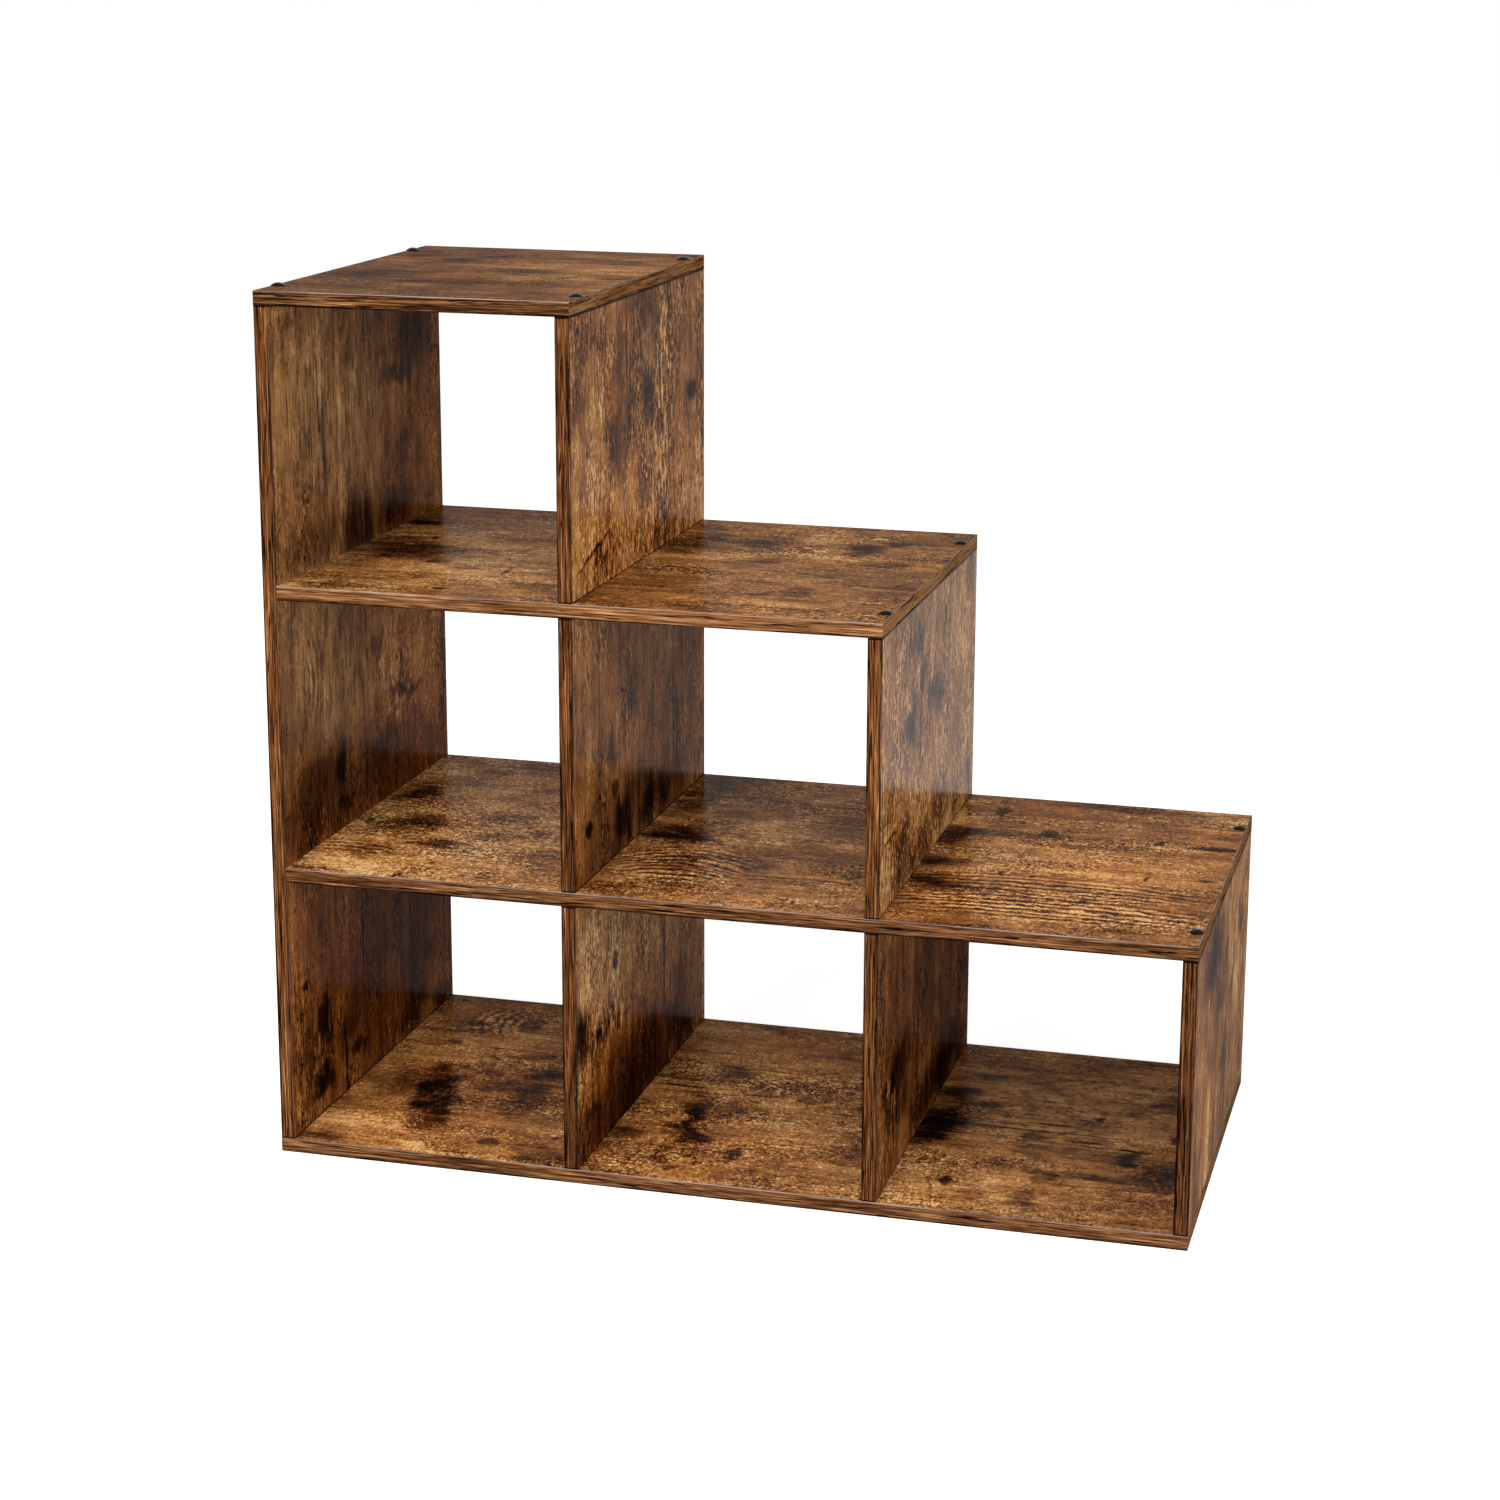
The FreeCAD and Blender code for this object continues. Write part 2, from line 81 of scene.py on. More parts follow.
class NodeKit:
    """Adds nodes to one shader tree, with plain numbers allowed wherever a socket is."""

    ASH_GREEN = 0.22
    ASH_BLUE = 0.50

    def __init__(self, tree: bpy.types.NodeTree) -> None:
        """Keeps the tree that the nodes go into."""
        self.tree = tree

    def feed(self, socket: Socket, value: Feed) -> None:
        """Links a socket to another one, or sets its own value.

        Args:
            socket: The input that is fed.
            value: A socket, a number, or the numbers of a vector or colour.
        """
        if isinstance(value, bpy.types.NodeSocket):
            self.tree.links.new(value, socket)
        elif isinstance(value, (int, float)):
            socket.default_value = value
        else:
            parts = tuple(value)
            short = len(socket.default_value) - len(parts)
            socket.default_value = parts + (1.0,) * short

    def add(self, kind: str, tree: Optional[bpy.types.NodeTree] = None, **inputs: Feed) -> bpy.types.Node:
        """Adds a node and feeds its inputs by name.

        Args:
            kind: The node's type.
            tree: The shared group that it shows, where it is one.
            inputs: Values by input name.

        Returns:
            The new node.
        """
        node = self.tree.nodes.new(kind)
        if tree:
            node.node_tree = tree
        for name, value in inputs.items():
            self.feed(node.inputs[name], value)
        return node

    def group(self, tree: bpy.types.NodeTree, **inputs: Feed) -> bpy.types.Node:
        """Places a shared group and feeds its inputs by name."""
        return self.add("ShaderNodeGroup", tree, **inputs)

    def math(self, operation: str, a: Feed, b: Feed = 0.0, c: Feed = 0.0, clamp: bool = False) -> Socket:
        """One step of arithmetic.

        Args:
            operation: The Math node's operation.
            a: First value.
            b: Second value.
            c: Third value, where the operation has one.
            clamp: Whether the result stays between 0 and 1.

        Returns:
            The result.
        """
        node = self.tree.nodes.new("ShaderNodeMath")
        node.operation = operation
        node.use_clamp = clamp
        for socket, value in zip(node.inputs, (a, b, c)):
            self.feed(socket, value)
        return node.outputs[0]

    def times(self, a: Feed, b: Feed) -> Socket:
        """The product of two values."""
        return self.math("MULTIPLY", a, b)

    def weigh(self, value: Feed, weight: Feed, base: Feed, clamp: bool = False) -> Socket:
        """A value times a weight, on top of a base."""
        return self.math("MULTIPLY_ADD", value, weight, base, clamp)

    def flip(self, mask: Feed) -> Socket:
        """0 where a mask is 1, and 1 where it is 0."""
        return self.math("SUBTRACT", 1.0, mask)

    def off_middle(self, noise: Feed) -> Socket:
        """How far a noise lies above its middle."""
        return self.math("SUBTRACT", noise, 0.5)

    def vector(self, operation: str, a: Feed, b: Feed = (0.0, 0.0, 0.0)) -> Socket:
        """One step of vector arithmetic.

        Args:
            operation: The Vector Math node's operation.
            a: First vector.
            b: Second vector.

        Returns:
            The vector, or the number where a length is asked for.
        """
        node = self.tree.nodes.new("ShaderNodeVectorMath")
        node.operation = operation
        self.feed(node.inputs[0], a)
        self.feed(node.inputs[1], b)
        return node.outputs["Value" if operation == "LENGTH" else "Vector"]

    def split(self, vector: Feed) -> tuple[Socket, Socket, Socket]:
        """The three parts of a vector."""
        return tuple(self.add("ShaderNodeSeparateXYZ", Vector=vector).outputs)

    def join(self, x: Feed, y: Feed, z: Feed) -> Socket:
        """A vector from its three parts."""
        return self.add("ShaderNodeCombineXYZ", X=x, Y=y, Z=z).outputs[0]

    def noise(self, place: Feed, stretch: Sequence[float], detail: float = 3.0, roughness: float = 0.55,
              distortion: float = 0.0) -> Socket:
        """Smooth noise about one half, stretched along the grain.

        Args:
            place: Where it is read, in metres.
            stretch: Features per metre along, across and through the grain.
            detail: How many finer layers it has.
            roughness: How strong the finer layers are.
            distortion: How far it is stirred.

        Returns:
            The noise.
        """
        spread = self.vector("MULTIPLY", place, stretch)
        node = self.add("ShaderNodeTexNoise", Vector=spread, Scale=1.0, Detail=detail, Roughness=roughness,
                        Distortion=distortion)
        return node.outputs[0]

    def fade(self, value: Feed, low: Feed, high: Feed) -> Socket:
        """A soft step.

        Args:
            value: What is read.
            low: Where the step starts, at 0.
            high: Where it ends, at 1.

        Returns:
            The step.
        """
        node = self.add("ShaderNodeMapRange", Value=value)
        node.interpolation_type = "SMOOTHSTEP"
        self.feed(node.inputs[1], low)
        self.feed(node.inputs[2], high)
        return node.outputs[0]

    def mix(self, share: Feed, a: Feed, b: Feed) -> Socket:
        """Mixes two colours.

        Args:
            share: How much of the second colour.
            a: First colour.
            b: Second colour.

        Returns:
            The mixed colour.
        """
        node = self.tree.nodes.new("ShaderNodeMix")
        node.data_type = "RGBA"
        self.feed(node.inputs[0], share)
        self.feed(node.inputs[6], a)
        self.feed(node.inputs[7], b)
        return node.outputs[2]

    def ramp(self, value: Feed, stops: Sequence[tuple[float, Colour]]) -> Socket:
        """A colour that follows a value.

        Args:
            value: Read from 0 to 1.
            stops: Places on the ramp with their colours.

        Returns:
            The colour.
        """
        node = self.add("ShaderNodeValToRGB", Fac=value)
        elements = node.color_ramp.elements
        while len(elements) < len(stops):
            elements.new(1.0)
        for element, (place, colour) in zip(elements, stops):
            element.position = place
            element.color = (*colour, 1.0)
        return node.outputs[0]

    def tint(self, colour: Socket, ash: Feed) -> Socket:
        """Greys a colour where ash is above nought, and reddens it where ash is below.

        Args:
            colour: The colour.
            ash: How far, from -1 to 1.

        Returns:
            The tinted colour.
        """
        green = self.weigh(ash, self.ASH_GREEN, 1.0)
        blue = self.weigh(ash, self.ASH_BLUE, 1.0)
        return self.vector("MULTIPLY", colour, self.join(1.0, green, blue))


class SharedGroup:
    """A shader node group that several materials use, built once."""

    name: str
    vectors: tuple[str, ...] = ()
    values: tuple[str, ...] = ()
    gives: tuple[str, ...] = ()

    def __init__(self) -> None:
        """Makes the group's sockets and then its nodes."""
        self.tree = bpy.data.node_groups.new(self.name, "ShaderNodeTree")
        for title in self.vectors:
            self.tree.interface.new_socket(title, in_out="INPUT", socket_type="NodeSocketVector")
        for title in self.values:
            self.tree.interface.new_socket(title, in_out="INPUT", socket_type="NodeSocketFloat")
        for title in self.gives:
            kind = "NodeSocketColor" if title == "Color" else "NodeSocketFloat"
            self.tree.interface.new_socket(title, in_out="OUTPUT", socket_type=kind)
        self.kit = NodeKit(self.tree)
        self.inputs = self.tree.nodes.new("NodeGroupInput").outputs
        self.outputs = self.tree.nodes.new("NodeGroupOutput").inputs
        self.build()

    def build(self) -> None:
        """Adds the nodes between the sockets."""
        raise NotImplementedError


class CentredGroup(SharedGroup):
    """A group that draws one mark about its centre."""

    vectors = ("Place", "Centre", "Reach")
    gives = ("Mask",)

    def share_of_reach(self) -> Socket:
        """Where the place lies from the centre, along the mark's turned axes.

        Returns:
            A vector, as a share of the mark's reach.
        """
        kit, given = self.kit, self.inputs
        offset = kit.vector("SUBTRACT", given["Place"], given["Centre"])
        turned = kit.add("ShaderNodeVectorRotate", Vector=offset, Angle=given["Turn"])
        turned.rotation_type = "Z_AXIS"
        flat = kit.vector("MULTIPLY", turned.outputs[0], (1.0, 1.0, 0.0))
        return kit.vector("DIVIDE", flat, given["Reach"])


class MarkGroup(CentredGroup):
    """A soft-edged oval mark on a board's face."""

    name = "oval_mark"
    values = ("Turn", "Softness", "Strength")

    def build(self) -> None:
        """Fades the mark with the distance from its centre."""
        kit, given = self.kit, self.inputs
        distance = kit.vector("LENGTH", self.share_of_reach())
        start = kit.flip(given["Softness"])
        end = kit.math("ADD", 1.0, given["Softness"])
        inside = kit.flip(kit.fade(distance, start, end))
        kit.feed(self.outputs["Mask"], kit.times(inside, given["Strength"]))


class RingsGroup(CentredGroup):
    """Growth rings cut open into nested arches, drawn as thin dark lines with pale wood between."""

    name = "growth_rings"
    values = ("Turn", "Count", "Strength")
    BEND = 0.55
    WOBBLE = 0.4
    PALE = -0.45

    def build(self) -> None:
        """Counts arches across the grain and fades them at the edge of their reach."""
        kit, given = self.kit, self.inputs
        scaled = self.share_of_reach()
        distance = kit.vector("LENGTH", scaled)
        along, across, _ = kit.split(scaled)
        wobble = kit.noise(given["Place"], (12.0, 26.0, 1.0))
        arch = kit.weigh(kit.times(along, along), self.BEND, across)
        phase = kit.weigh(wobble, self.WOBBLE, arch)
        wave = kit.math("SINE", kit.times(phase, kit.times(given["Count"], math.tau)))
        lines = kit.weigh(kit.fade(wave, -0.1, -0.9), self.PALE, kit.fade(wave, 0.35, 0.95))
        inside = kit.flip(kit.fade(distance, 0.5, 1.0))
        shown = kit.times(kit.times(lines, inside), given["Strength"])
        kit.feed(self.outputs["Mask"], shown)


class PrintGroup(SharedGroup):
    """The rustic wood print: clouds, burnt smoke, golden flecks, streaks, torn plates and dark pits."""

    name = "wood_print"
    vectors = ("Place", "Seed", "Fine")
    values = ("Burn", "Glow", "Lines", "Flake", "Ash", "Tone", "Wild", "Grain")
    gives = ("Color", "Roughness", "Height", "Gloss")
    STOPS = (
        (0.00, (0.0040, 0.0018, 0.0010)),
        (0.16, (0.0180, 0.0056, 0.0021)),
        (0.34, (0.0710, 0.0225, 0.0058)),
        (0.52, (0.1740, 0.0660, 0.0180)),
        (0.70, (0.3450, 0.1430, 0.0400)),
        (0.86, (0.5600, 0.2900, 0.0980)),
        (1.00, (0.7800, 0.5000, 0.2300)),
    )
    # How far noise greys and reddens the print by itself, and where it is read
    ASH_SWING = 1.6
    ASH_PLACE = (3.1, 1.7, 0.0)

    def build(self) -> None:
        """Adds the print's layers to one tone and reads its colour from a ramp."""
        kit, given = self.kit, self.inputs
        place = kit.vector("ADD", given["Place"], given["Seed"])
        near = kit.vector("MULTIPLY", place, given["Fine"])
        cloud = kit.noise(place, (5.0, 8.0, THROUGH), detail=2.0)
        smoke = kit.noise(place, (11.0, 16.0, THROUGH), detail=5.0, roughness=0.6, distortion=0.3)
        mottle = kit.noise(place, (24.0, 38.0, THROUGH))
        streak = kit.noise(place, (5.0, 70.0, THROUGH), detail=5.0, roughness=0.6)
        dash = kit.noise(near, (55.0, 190.0, THROUGH), roughness=0.65)
        grit = kit.noise(near, (150.0, 330.0, THROUGH), detail=2.0, roughness=0.75)
        fleck = kit.noise(near, (120.0, 270.0, THROUGH), roughness=0.65, distortion=0.4)
        bark = kit.noise(near, (40.0, 130.0, THROUGH), distortion=0.5)
        cluster = kit.noise(place, (10.0, 20.0, THROUGH))
        hair = kit.fade(kit.noise(place, (7.0, 330.0, THROUGH), detail=2.0, roughness=0.6), 0.56, 0.68)

        # Burnt patches have ragged insides, and golden ones sparkle
        own_burn = kit.times(kit.fade(smoke, 0.55, 0.72), given["Wild"])
        burn_and_shade = kit.math("MAXIMUM", own_burn, given["Burn"])
        uneven = kit.weigh(grit, 0.7, kit.weigh(mottle, 1.5, -0.08))
        ragged = kit.times(burn_and_shade, uneven)
        own_glow = kit.times(kit.fade(cloud, 0.50, 0.66), given["Wild"])
        glow = kit.math("MAXIMUM", own_glow, given["Glow"])
        bright = kit.fade(fleck, 0.56, 0.66)
        sparkle = kit.times(bright, kit.weigh(glow, 0.75, 0.25))

        # Rough patches tear into plates with dark splits and pale lips, and calm ones lose their pits
        own_rough = kit.fade(cluster, 0.51, 0.62)
        rough_patch = kit.weigh(own_rough, 0.75, given["Flake"], clamp=True)
        calm = kit.math("ADD", given["Flake"], 1.0, clamp=True)
        pit = kit.times(kit.flip(kit.fade(fleck, 0.33, 0.40)), calm)
        grain = kit.times(given["Grain"], calm)
        from_edge = kit.off_middle(bark)
        edge = kit.flip(kit.fade(kit.math("ABSOLUTE", from_edge), 0.010, 0.032))
        split = kit.times(edge, rough_patch)
        rim = kit.math("SUBTRACT", kit.fade(from_edge, 0.024, 0.042), kit.fade(from_edge, 0.050, 0.090))
        lip = kit.times(rim, rough_patch)
        plate = kit.times(kit.math("SUBTRACT", kit.fade(bark, 0.50, 0.60), 0.45), given["Flake"])

        # The small grain is coarser in clusters and where it is torn
        coarse = kit.weigh(kit.fade(cluster, 0.40, 0.60), 1.00, 0.62)
        coarse = kit.weigh(given["Flake"], 0.4, coarse)
        fine = kit.weigh(dash, 0.65, kit.math("SUBTRACT", grit, 0.825))

        # How far each layer pulls the tone towards the pale end of the ramp
        tone = given["Tone"]
        for layer, pull in (
            (kit.off_middle(cloud), 0.52),
            (kit.off_middle(mottle), 0.50),
            (kit.off_middle(streak), 0.46),
            (fine, kit.times(coarse, grain)),
            (hair, -0.20),
            (plate, 0.30),
            (glow, 0.10),
            (kit.times(sparkle, grain), 0.42),
            (split, -0.46),
            (lip, 0.15),
            (ragged, -0.58),
            (given["Lines"], -0.34),
            (pit, -0.30),
        ):
            tone = kit.weigh(layer, pull, tone)
        drift = kit.noise(kit.vector("ADD", place, self.ASH_PLACE), (7.0, 12.0, THROUGH))
        ash = kit.weigh(kit.off_middle(drift), self.ASH_SWING, given["Ash"])
        kit.feed(self.outputs["Color"], kit.tint(kit.ramp(tone, self.STOPS), ash))

        rough = kit.weigh(grit, 0.20, 0.38)
        kit.feed(self.outputs["Roughness"], kit.weigh(pit, 0.15, rough))
        sunk = kit.weigh(split, 0.9, kit.times(pit, 0.5))
        relief = kit.weigh(dash, 0.8, grit)
        kit.feed(self.outputs["Height"], kit.math("SUBTRACT", relief, sunk))
        kit.feed(self.outputs["Gloss"], kit.weigh(dash, 0.5, 0.75))


class BandGroup(SharedGroup):
    """The edge band's print: long dark pore streaks, short gouges and a pale arris line, partly the trimmed
    band's own colour and partly a painted highlight.
    """

    name = "band_print"
    vectors = ("Place", "Seed")
    values = ("Tone", "Ash", "Arris", "Grime")
    gives = ("Color", "Roughness", "Height")
    STOPS = (
        (0.00, (0.0025, 0.0012, 0.0008)),
        (0.20, (0.0130, 0.0050, 0.0022)),
        (0.42, (0.0560, 0.0210, 0.0074)),
        (0.62, (0.1200, 0.0480, 0.0175)),
        (0.82, (0.2050, 0.0920, 0.0360)),
        (1.00, (0.3200, 0.1650, 0.0700)),
    )
    # Colour of the pale arris line: partly the trimmed band's own colour, partly a painted highlight
    PALE: Colour = (0.290, 0.225, 0.205)

    def build(self) -> None:
        """Draws streaks along the strip, gouges, painted shade along its sides and the pale arris."""
        kit, given = self.kit, self.inputs
        place = kit.vector("ADD", given["Place"], given["Seed"])
        drift = kit.noise(place, (7.0, 40.0, THROUGH))
        streak = kit.noise(place, (11.0, 560.0, THROUGH), roughness=0.7, distortion=0.3)
        pore = kit.noise(place, (38.0, 1300.0, THROUGH), detail=2.0, roughness=0.6)
        gouge = kit.noise(place, (22.0, 330.0, THROUGH), detail=2.0)
        cut = kit.fade(gouge, 0.62, 0.67)

        # How far each layer pulls the tone towards the pale end of the ramp
        tone = given["Tone"]
        for layer, pull in (
            (kit.off_middle(drift), 0.40),
            (kit.off_middle(streak), 2.10),
            (kit.off_middle(pore), 1.30),
            # Painted shade along the band's sides
            (given["Grime"], -0.35),
            (cut, -0.50),
        ):
            tone = kit.weigh(layer, pull, tone)
        colour = kit.tint(kit.ramp(tone, self.STOPS), given["Ash"])
        broken = kit.weigh(drift, 2.2, -0.55)
        shown = kit.math("MULTIPLY", given["Arris"], broken, clamp=True)
        kit.feed(self.outputs["Color"], kit.mix(shown, colour, self.PALE))
        kit.feed(self.outputs["Roughness"], kit.weigh(pore, 0.25, 0.32))
        kit.feed(self.outputs["Height"], kit.weigh(cut, -0.8, streak))


@dataclass(frozen=True)
class Shared:
    """The node groups that the materials share."""

    oval: MarkGroup
    rings: RingsGroup
    wood: PrintGroup
    band: BandGroup


@dataclass(frozen=True)
class Mark:
    """One mark of the print, in millimetres from the board's low end and from its front edge."""

    kind: MarkKind
    along: float
    across: float
    length: float
    width: float
    strength: float = 1.0
    turn: float = 0.0


@dataclass(frozen=True)
class Stir:
    """How a mark's outline is stirred: waves per metre, and a swing in metres, longer along the grain."""

    waves: Triple
    swing: float
    longer: float = 1.4


@dataclass(frozen=True)
class Relief:
    """The bump of a finish: its strength, and its height in metres."""

    strength: float
    height: float


@dataclass(frozen=True)
class LaminateFinish:
    """Printed laminate of the boards' faces under a thin clear lacquer."""

    tone: float = 0.588
    wild_seen: float = 0.40
    wild_hidden: float = 0.85
    lacquer: float = 0.12
    lacquer_roughness: float = 0.20
    specular: float = 0.0
    relief: Relief = Relief(0.25, 0.0003)
    patch_stir: Stir = Stir((22.0, 40.0, THROUGH), 0.055)
    mark_stir: Stir = Stir((70.0, 120.0, THROUGH), 0.014)
    crack_stir: Stir = Stir((30.0, 50.0, THROUGH), 0.010)
    crack_strength: float = 1.6
    ring_spacing: float = 0.011
    fewest_rings: float = 2.0
    # Painted contact shadow along the ends of the upright boards
    seam: float = 0.0018
    joint_shade_strength: float = 1.5
    SOFT: ClassVar[dict[MarkKind, float]] = {
        MarkKind.BURN: 0.80, MarkKind.GLOW: 0.7, MarkKind.KNOT: 0.4, MarkKind.CRACK: 0.5,
        MarkKind.FLAKE: 0.6, MarkKind.ASH: 0.8,
    }
    FINE: ClassVar[dict[GrainAxis, Triple]] = {
        GrainAxis.LEVEL: (2.3, 0.85, 1.0), GrainAxis.UPRIGHT: (1.0, 1.0, 1.0),
    }

    def mask(self, kit: NodeKit, shared: Shared, place: Socket, marks: Sequence[Mark],
             kind: MarkKind) -> Feed:
        """A board's marks of one kind, put together.

        Args:
            kit: The material's node kit.
            shared: The shared node groups.
            place: Where this kind of mark is read, already stirred.
            marks: All the board's marks.
            kind: The kind that is wanted.

        Returns:
            A mask, or 0 where the board has none.
        """
        total: Feed = 0.0
        gather = "ADD" if kind.adds_up else "MAXIMUM"
        for mark in marks:
            if mark.kind is not kind:
                continue
            centre = (mark.along / MM_PER_M, mark.across / MM_PER_M, 0.0)
            reach = (mark.length / 2 / MM_PER_M, mark.width / 2 / MM_PER_M, 1.0)
            common = {"Place": place, "Centre": centre, "Reach": reach, "Turn": -math.radians(mark.turn),
                      "Strength": mark.strength}
            if kind is MarkKind.RINGS:
                count = max(self.fewest_rings, min(reach[:2]) / self.ring_spacing)
                node = kit.group(shared.rings.tree, Count=count, **common)
            else:
                node = kit.group(shared.oval.tree, Softness=self.SOFT[kind], **common)
            total = node.outputs[0] if total == 0.0 else kit.math(gather, total, node.outputs[0])
        return total


@dataclass(frozen=True)
class BandFinish:
    """Edge band with an embossed grain and one pale arris line, partly the trimmed band's own colour and
    partly a painted highlight.
    """

    tone: float = 0.53
    upright_tone: float = 0.405
    end_tone: float = 0.35
    ash: float = 0.1
    upright_ash: float = -0.38
    specular: float = 0.0
    arris: float = 0.9
    upright_arris: float = 0.10
    arris_reach: float = 0.0011
    arris_core: float = 0.0005
    # Painted shade along a band's lower edge, and along both sides of an upright band
    edge_shade_reach: float = 0.0026
    upright_edge_shade: float = 0.65
    # Painted contact shadow along the ends of the upright bands
    seam: float = 0.0018
    joint_shade_strength: float = 1.6
    relief: Relief = Relief(0.35, 0.0004)


@dataclass(frozen=True)
class Board:
    """One board of the carcass, with its own cut of the print and its own edge bands.

    Its tone and band lighten the faces and the edge bands, its sheen scales the lacquer, and its rough
    scales the small grain.
    """

    node: str
    grain: GrainAxis
    seed: float
    tone: float = 0.0
    sheen: float = 1.0
    band: float = 0.0
    rough: float = 1.0
    marks: tuple[Mark, ...] = ()
    # How far apart the boards' cuts lie in the print
    CUT_STEP: ClassVar[Triple] = (7.31, 3.17, 5.7)
    # The share of the painted joint shadow's reach that is fully dark
    JOINT_SHADE_CORE: ClassVar[float] = 0.3
    # How squarely a band's face looks along the grain where it is an end
    END_FACING: ClassVar[float] = 0.7

    @property
    def offset(self) -> Triple:
        """Where this board's cut of the print is read."""
        return tuple(self.seed * step for step in self.CUT_STEP)

    def place(self, kit: NodeKit) -> tuple[Socket, Socket, Socket]:
        """Measures from the board's low front corner.

        Args:
            kit: The material's node kit.

        Returns:
            Metres along, across and through the grain.
        """
        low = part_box(self.node)[0]
        here = kit.add("ShaderNodeTexCoord").outputs["Object"]
        parts = kit.split(kit.vector("SUBTRACT", here, low))
        return tuple(parts[axis] for axis in self.grain.value)

    def seam(self, kit: NodeKit, along: Socket, reach: float) -> Socket:
        """Painted contact shadow as a dark line at both ends of the board.

        Args:
            kit: The material's node kit.
            along: Metres from the board's low end.
            reach: How far the joint's shade runs, in metres.

        Returns:
            1 at the ends, 0 from the reach on.
        """
        length = extent(self.node, self.grain.along)
        to_end = kit.math("MINIMUM", along, kit.math("SUBTRACT", length, along))
        return kit.flip(kit.fade(to_end, reach * self.JOINT_SHADE_CORE, reach))

    def stir(self, kit: NodeKit, place: Socket, stir: Stir) -> Socket:
        """The place with its outline stirred, so that marks have uneven edges.

        Args:
            kit: The material's node kit.
            place: Along, across and through the grain, in metres.
            stir: How it is stirred.

        Returns:
            The stirred place.
        """
        spread = kit.vector("MULTIPLY", kit.vector("ADD", place, self.offset), stir.waves)
        noise = kit.add("ShaderNodeTexNoise", Vector=spread, Scale=1.0, Detail=4.0, Roughness=0.6)
        centred = kit.vector("SUBTRACT", noise.outputs["Color"], (0.5, 0.5, 0.5))
        reach = (stir.swing * stir.longer, stir.swing, 0.0)
        return kit.vector("ADD", place, kit.vector("MULTIPLY", centred, reach))

    def masks(self, kit: NodeKit, finish: LaminateFinish, shared: Shared, place: Socket,
              seen: Socket) -> dict[MarkKind, Socket]:
        """The board's own marks, which lie on its upper or right face.

        Args:
            kit: The material's node kit.
            finish: The laminate.
            shared: The shared node groups.
            place: Along, across and through the grain, in metres.
            seen: 1 on the face that has the marks.

        Returns:
            One mask for each kind of mark.
        """
        broad = self.stir(kit, place, finish.patch_stir)
        fine = self.stir(kit, place, finish.mark_stir)
        places = {kind: broad for kind in MarkKind}
        places[MarkKind.KNOT] = fine
        places[MarkKind.RINGS] = fine
        places[MarkKind.CRACK] = self.stir(kit, place, finish.crack_stir)
        masks = {}
        for kind in MarkKind:
            drawn = finish.mask(kit, shared, places[kind], self.marks, kind)
            masks[kind] = kit.times(drawn, seen)
        return masks

    def dress(self, finish: LaminateFinish, shared: Shared) -> None:
        """Makes the board's material and gives it to the CAD node.

        Args:
            finish: The laminate.
            shared: The shared node groups.
        """
        material, kit, shader = new_material(f"laminate_{self.node}")
        along, across, through = self.place(kit)
        place = kit.join(along, across, through)
        seen = kit.math("GREATER_THAN", through, extent(self.node, self.grain.through) / 2)
        masks = self.masks(kit, finish, shared, place, seen)
        wild = kit.weigh(seen, finish.wild_seen - finish.wild_hidden, finish.wild_hidden)
        burn_and_shade = kit.math("MAXIMUM", masks[MarkKind.BURN], masks[MarkKind.KNOT])
        lines = kit.weigh(masks[MarkKind.CRACK], finish.crack_strength, masks[MarkKind.RINGS])
        # Upright boards get painted contact shadow at both ends
        if self.grain is GrainAxis.UPRIGHT:
            shaded_joint = self.seam(kit, along, finish.seam)
            lines = kit.weigh(shaded_joint, finish.joint_shade_strength, lines)
        wood = kit.group(shared.wood.tree, Place=place, Seed=self.offset, Fine=finish.FINE[self.grain],
                         Burn=burn_and_shade, Glow=masks[MarkKind.GLOW], Lines=lines, Flake=masks[MarkKind.FLAKE],
                         Ash=masks[MarkKind.ASH], Tone=finish.tone + self.tone, Wild=wild,
                         Grain=self.rough).outputs
        dress_shader(kit, shader, wood["Color"], wood["Roughness"], wood["Height"], finish.relief)
        coat = kit.times(wood["Gloss"], finish.lacquer * self.sheen)
        kit.feed(shader.inputs["Coat Weight"], coat)
        shader.inputs["Specular IOR Level"].default_value = finish.specular
        shader.inputs["Coat Roughness"].default_value = finish.lacquer_roughness
        put_material(self.node, material)

    def dress_bands(self, finish: BandFinish, shared: Shared) -> None:
        """Makes the material of the board's edge bands and gives it to their CAD node.

        Args:
            finish: The edge band.
            shared: The shared node groups.
        """
        node = f"{self.node}_edge_bands"
        material, kit, shader = new_material(f"band_{self.node}")
        along, across, through = self.place(kit)
        thickness = extent(node, self.grain.through)
        normal = kit.split(kit.add("ShaderNodeTexCoord").outputs["Normal"])[self.grain.along]
        at_end = kit.math("GREATER_THAN", kit.math("ABSOLUTE", normal), self.END_FACING)
        run = kit.weigh(at_end, kit.math("SUBTRACT", across, along), along)
        depth = kit.weigh(at_end, kit.math("SUBTRACT", along, across), across)
        # The pale line on the band's upper or right arris, partly the trimmed band's own colour and partly
        # a painted highlight
        arris = kit.fade(through, thickness - finish.arris_reach, thickness - finish.arris_core)
        tone, pale, ash, from_side = finish.tone, finish.arris, finish.ash, through
        if self.grain is GrainAxis.UPRIGHT:
            tone, pale, ash = finish.upright_tone, finish.upright_arris, finish.upright_ash
            from_side = kit.math("MINIMUM", through, kit.math("SUBTRACT", thickness, through))
        # Painted shade along the band's lower edge, or along both sides of an upright band
        edge_shade = kit.flip(kit.fade(from_side, finish.arris_core, finish.edge_shade_reach))
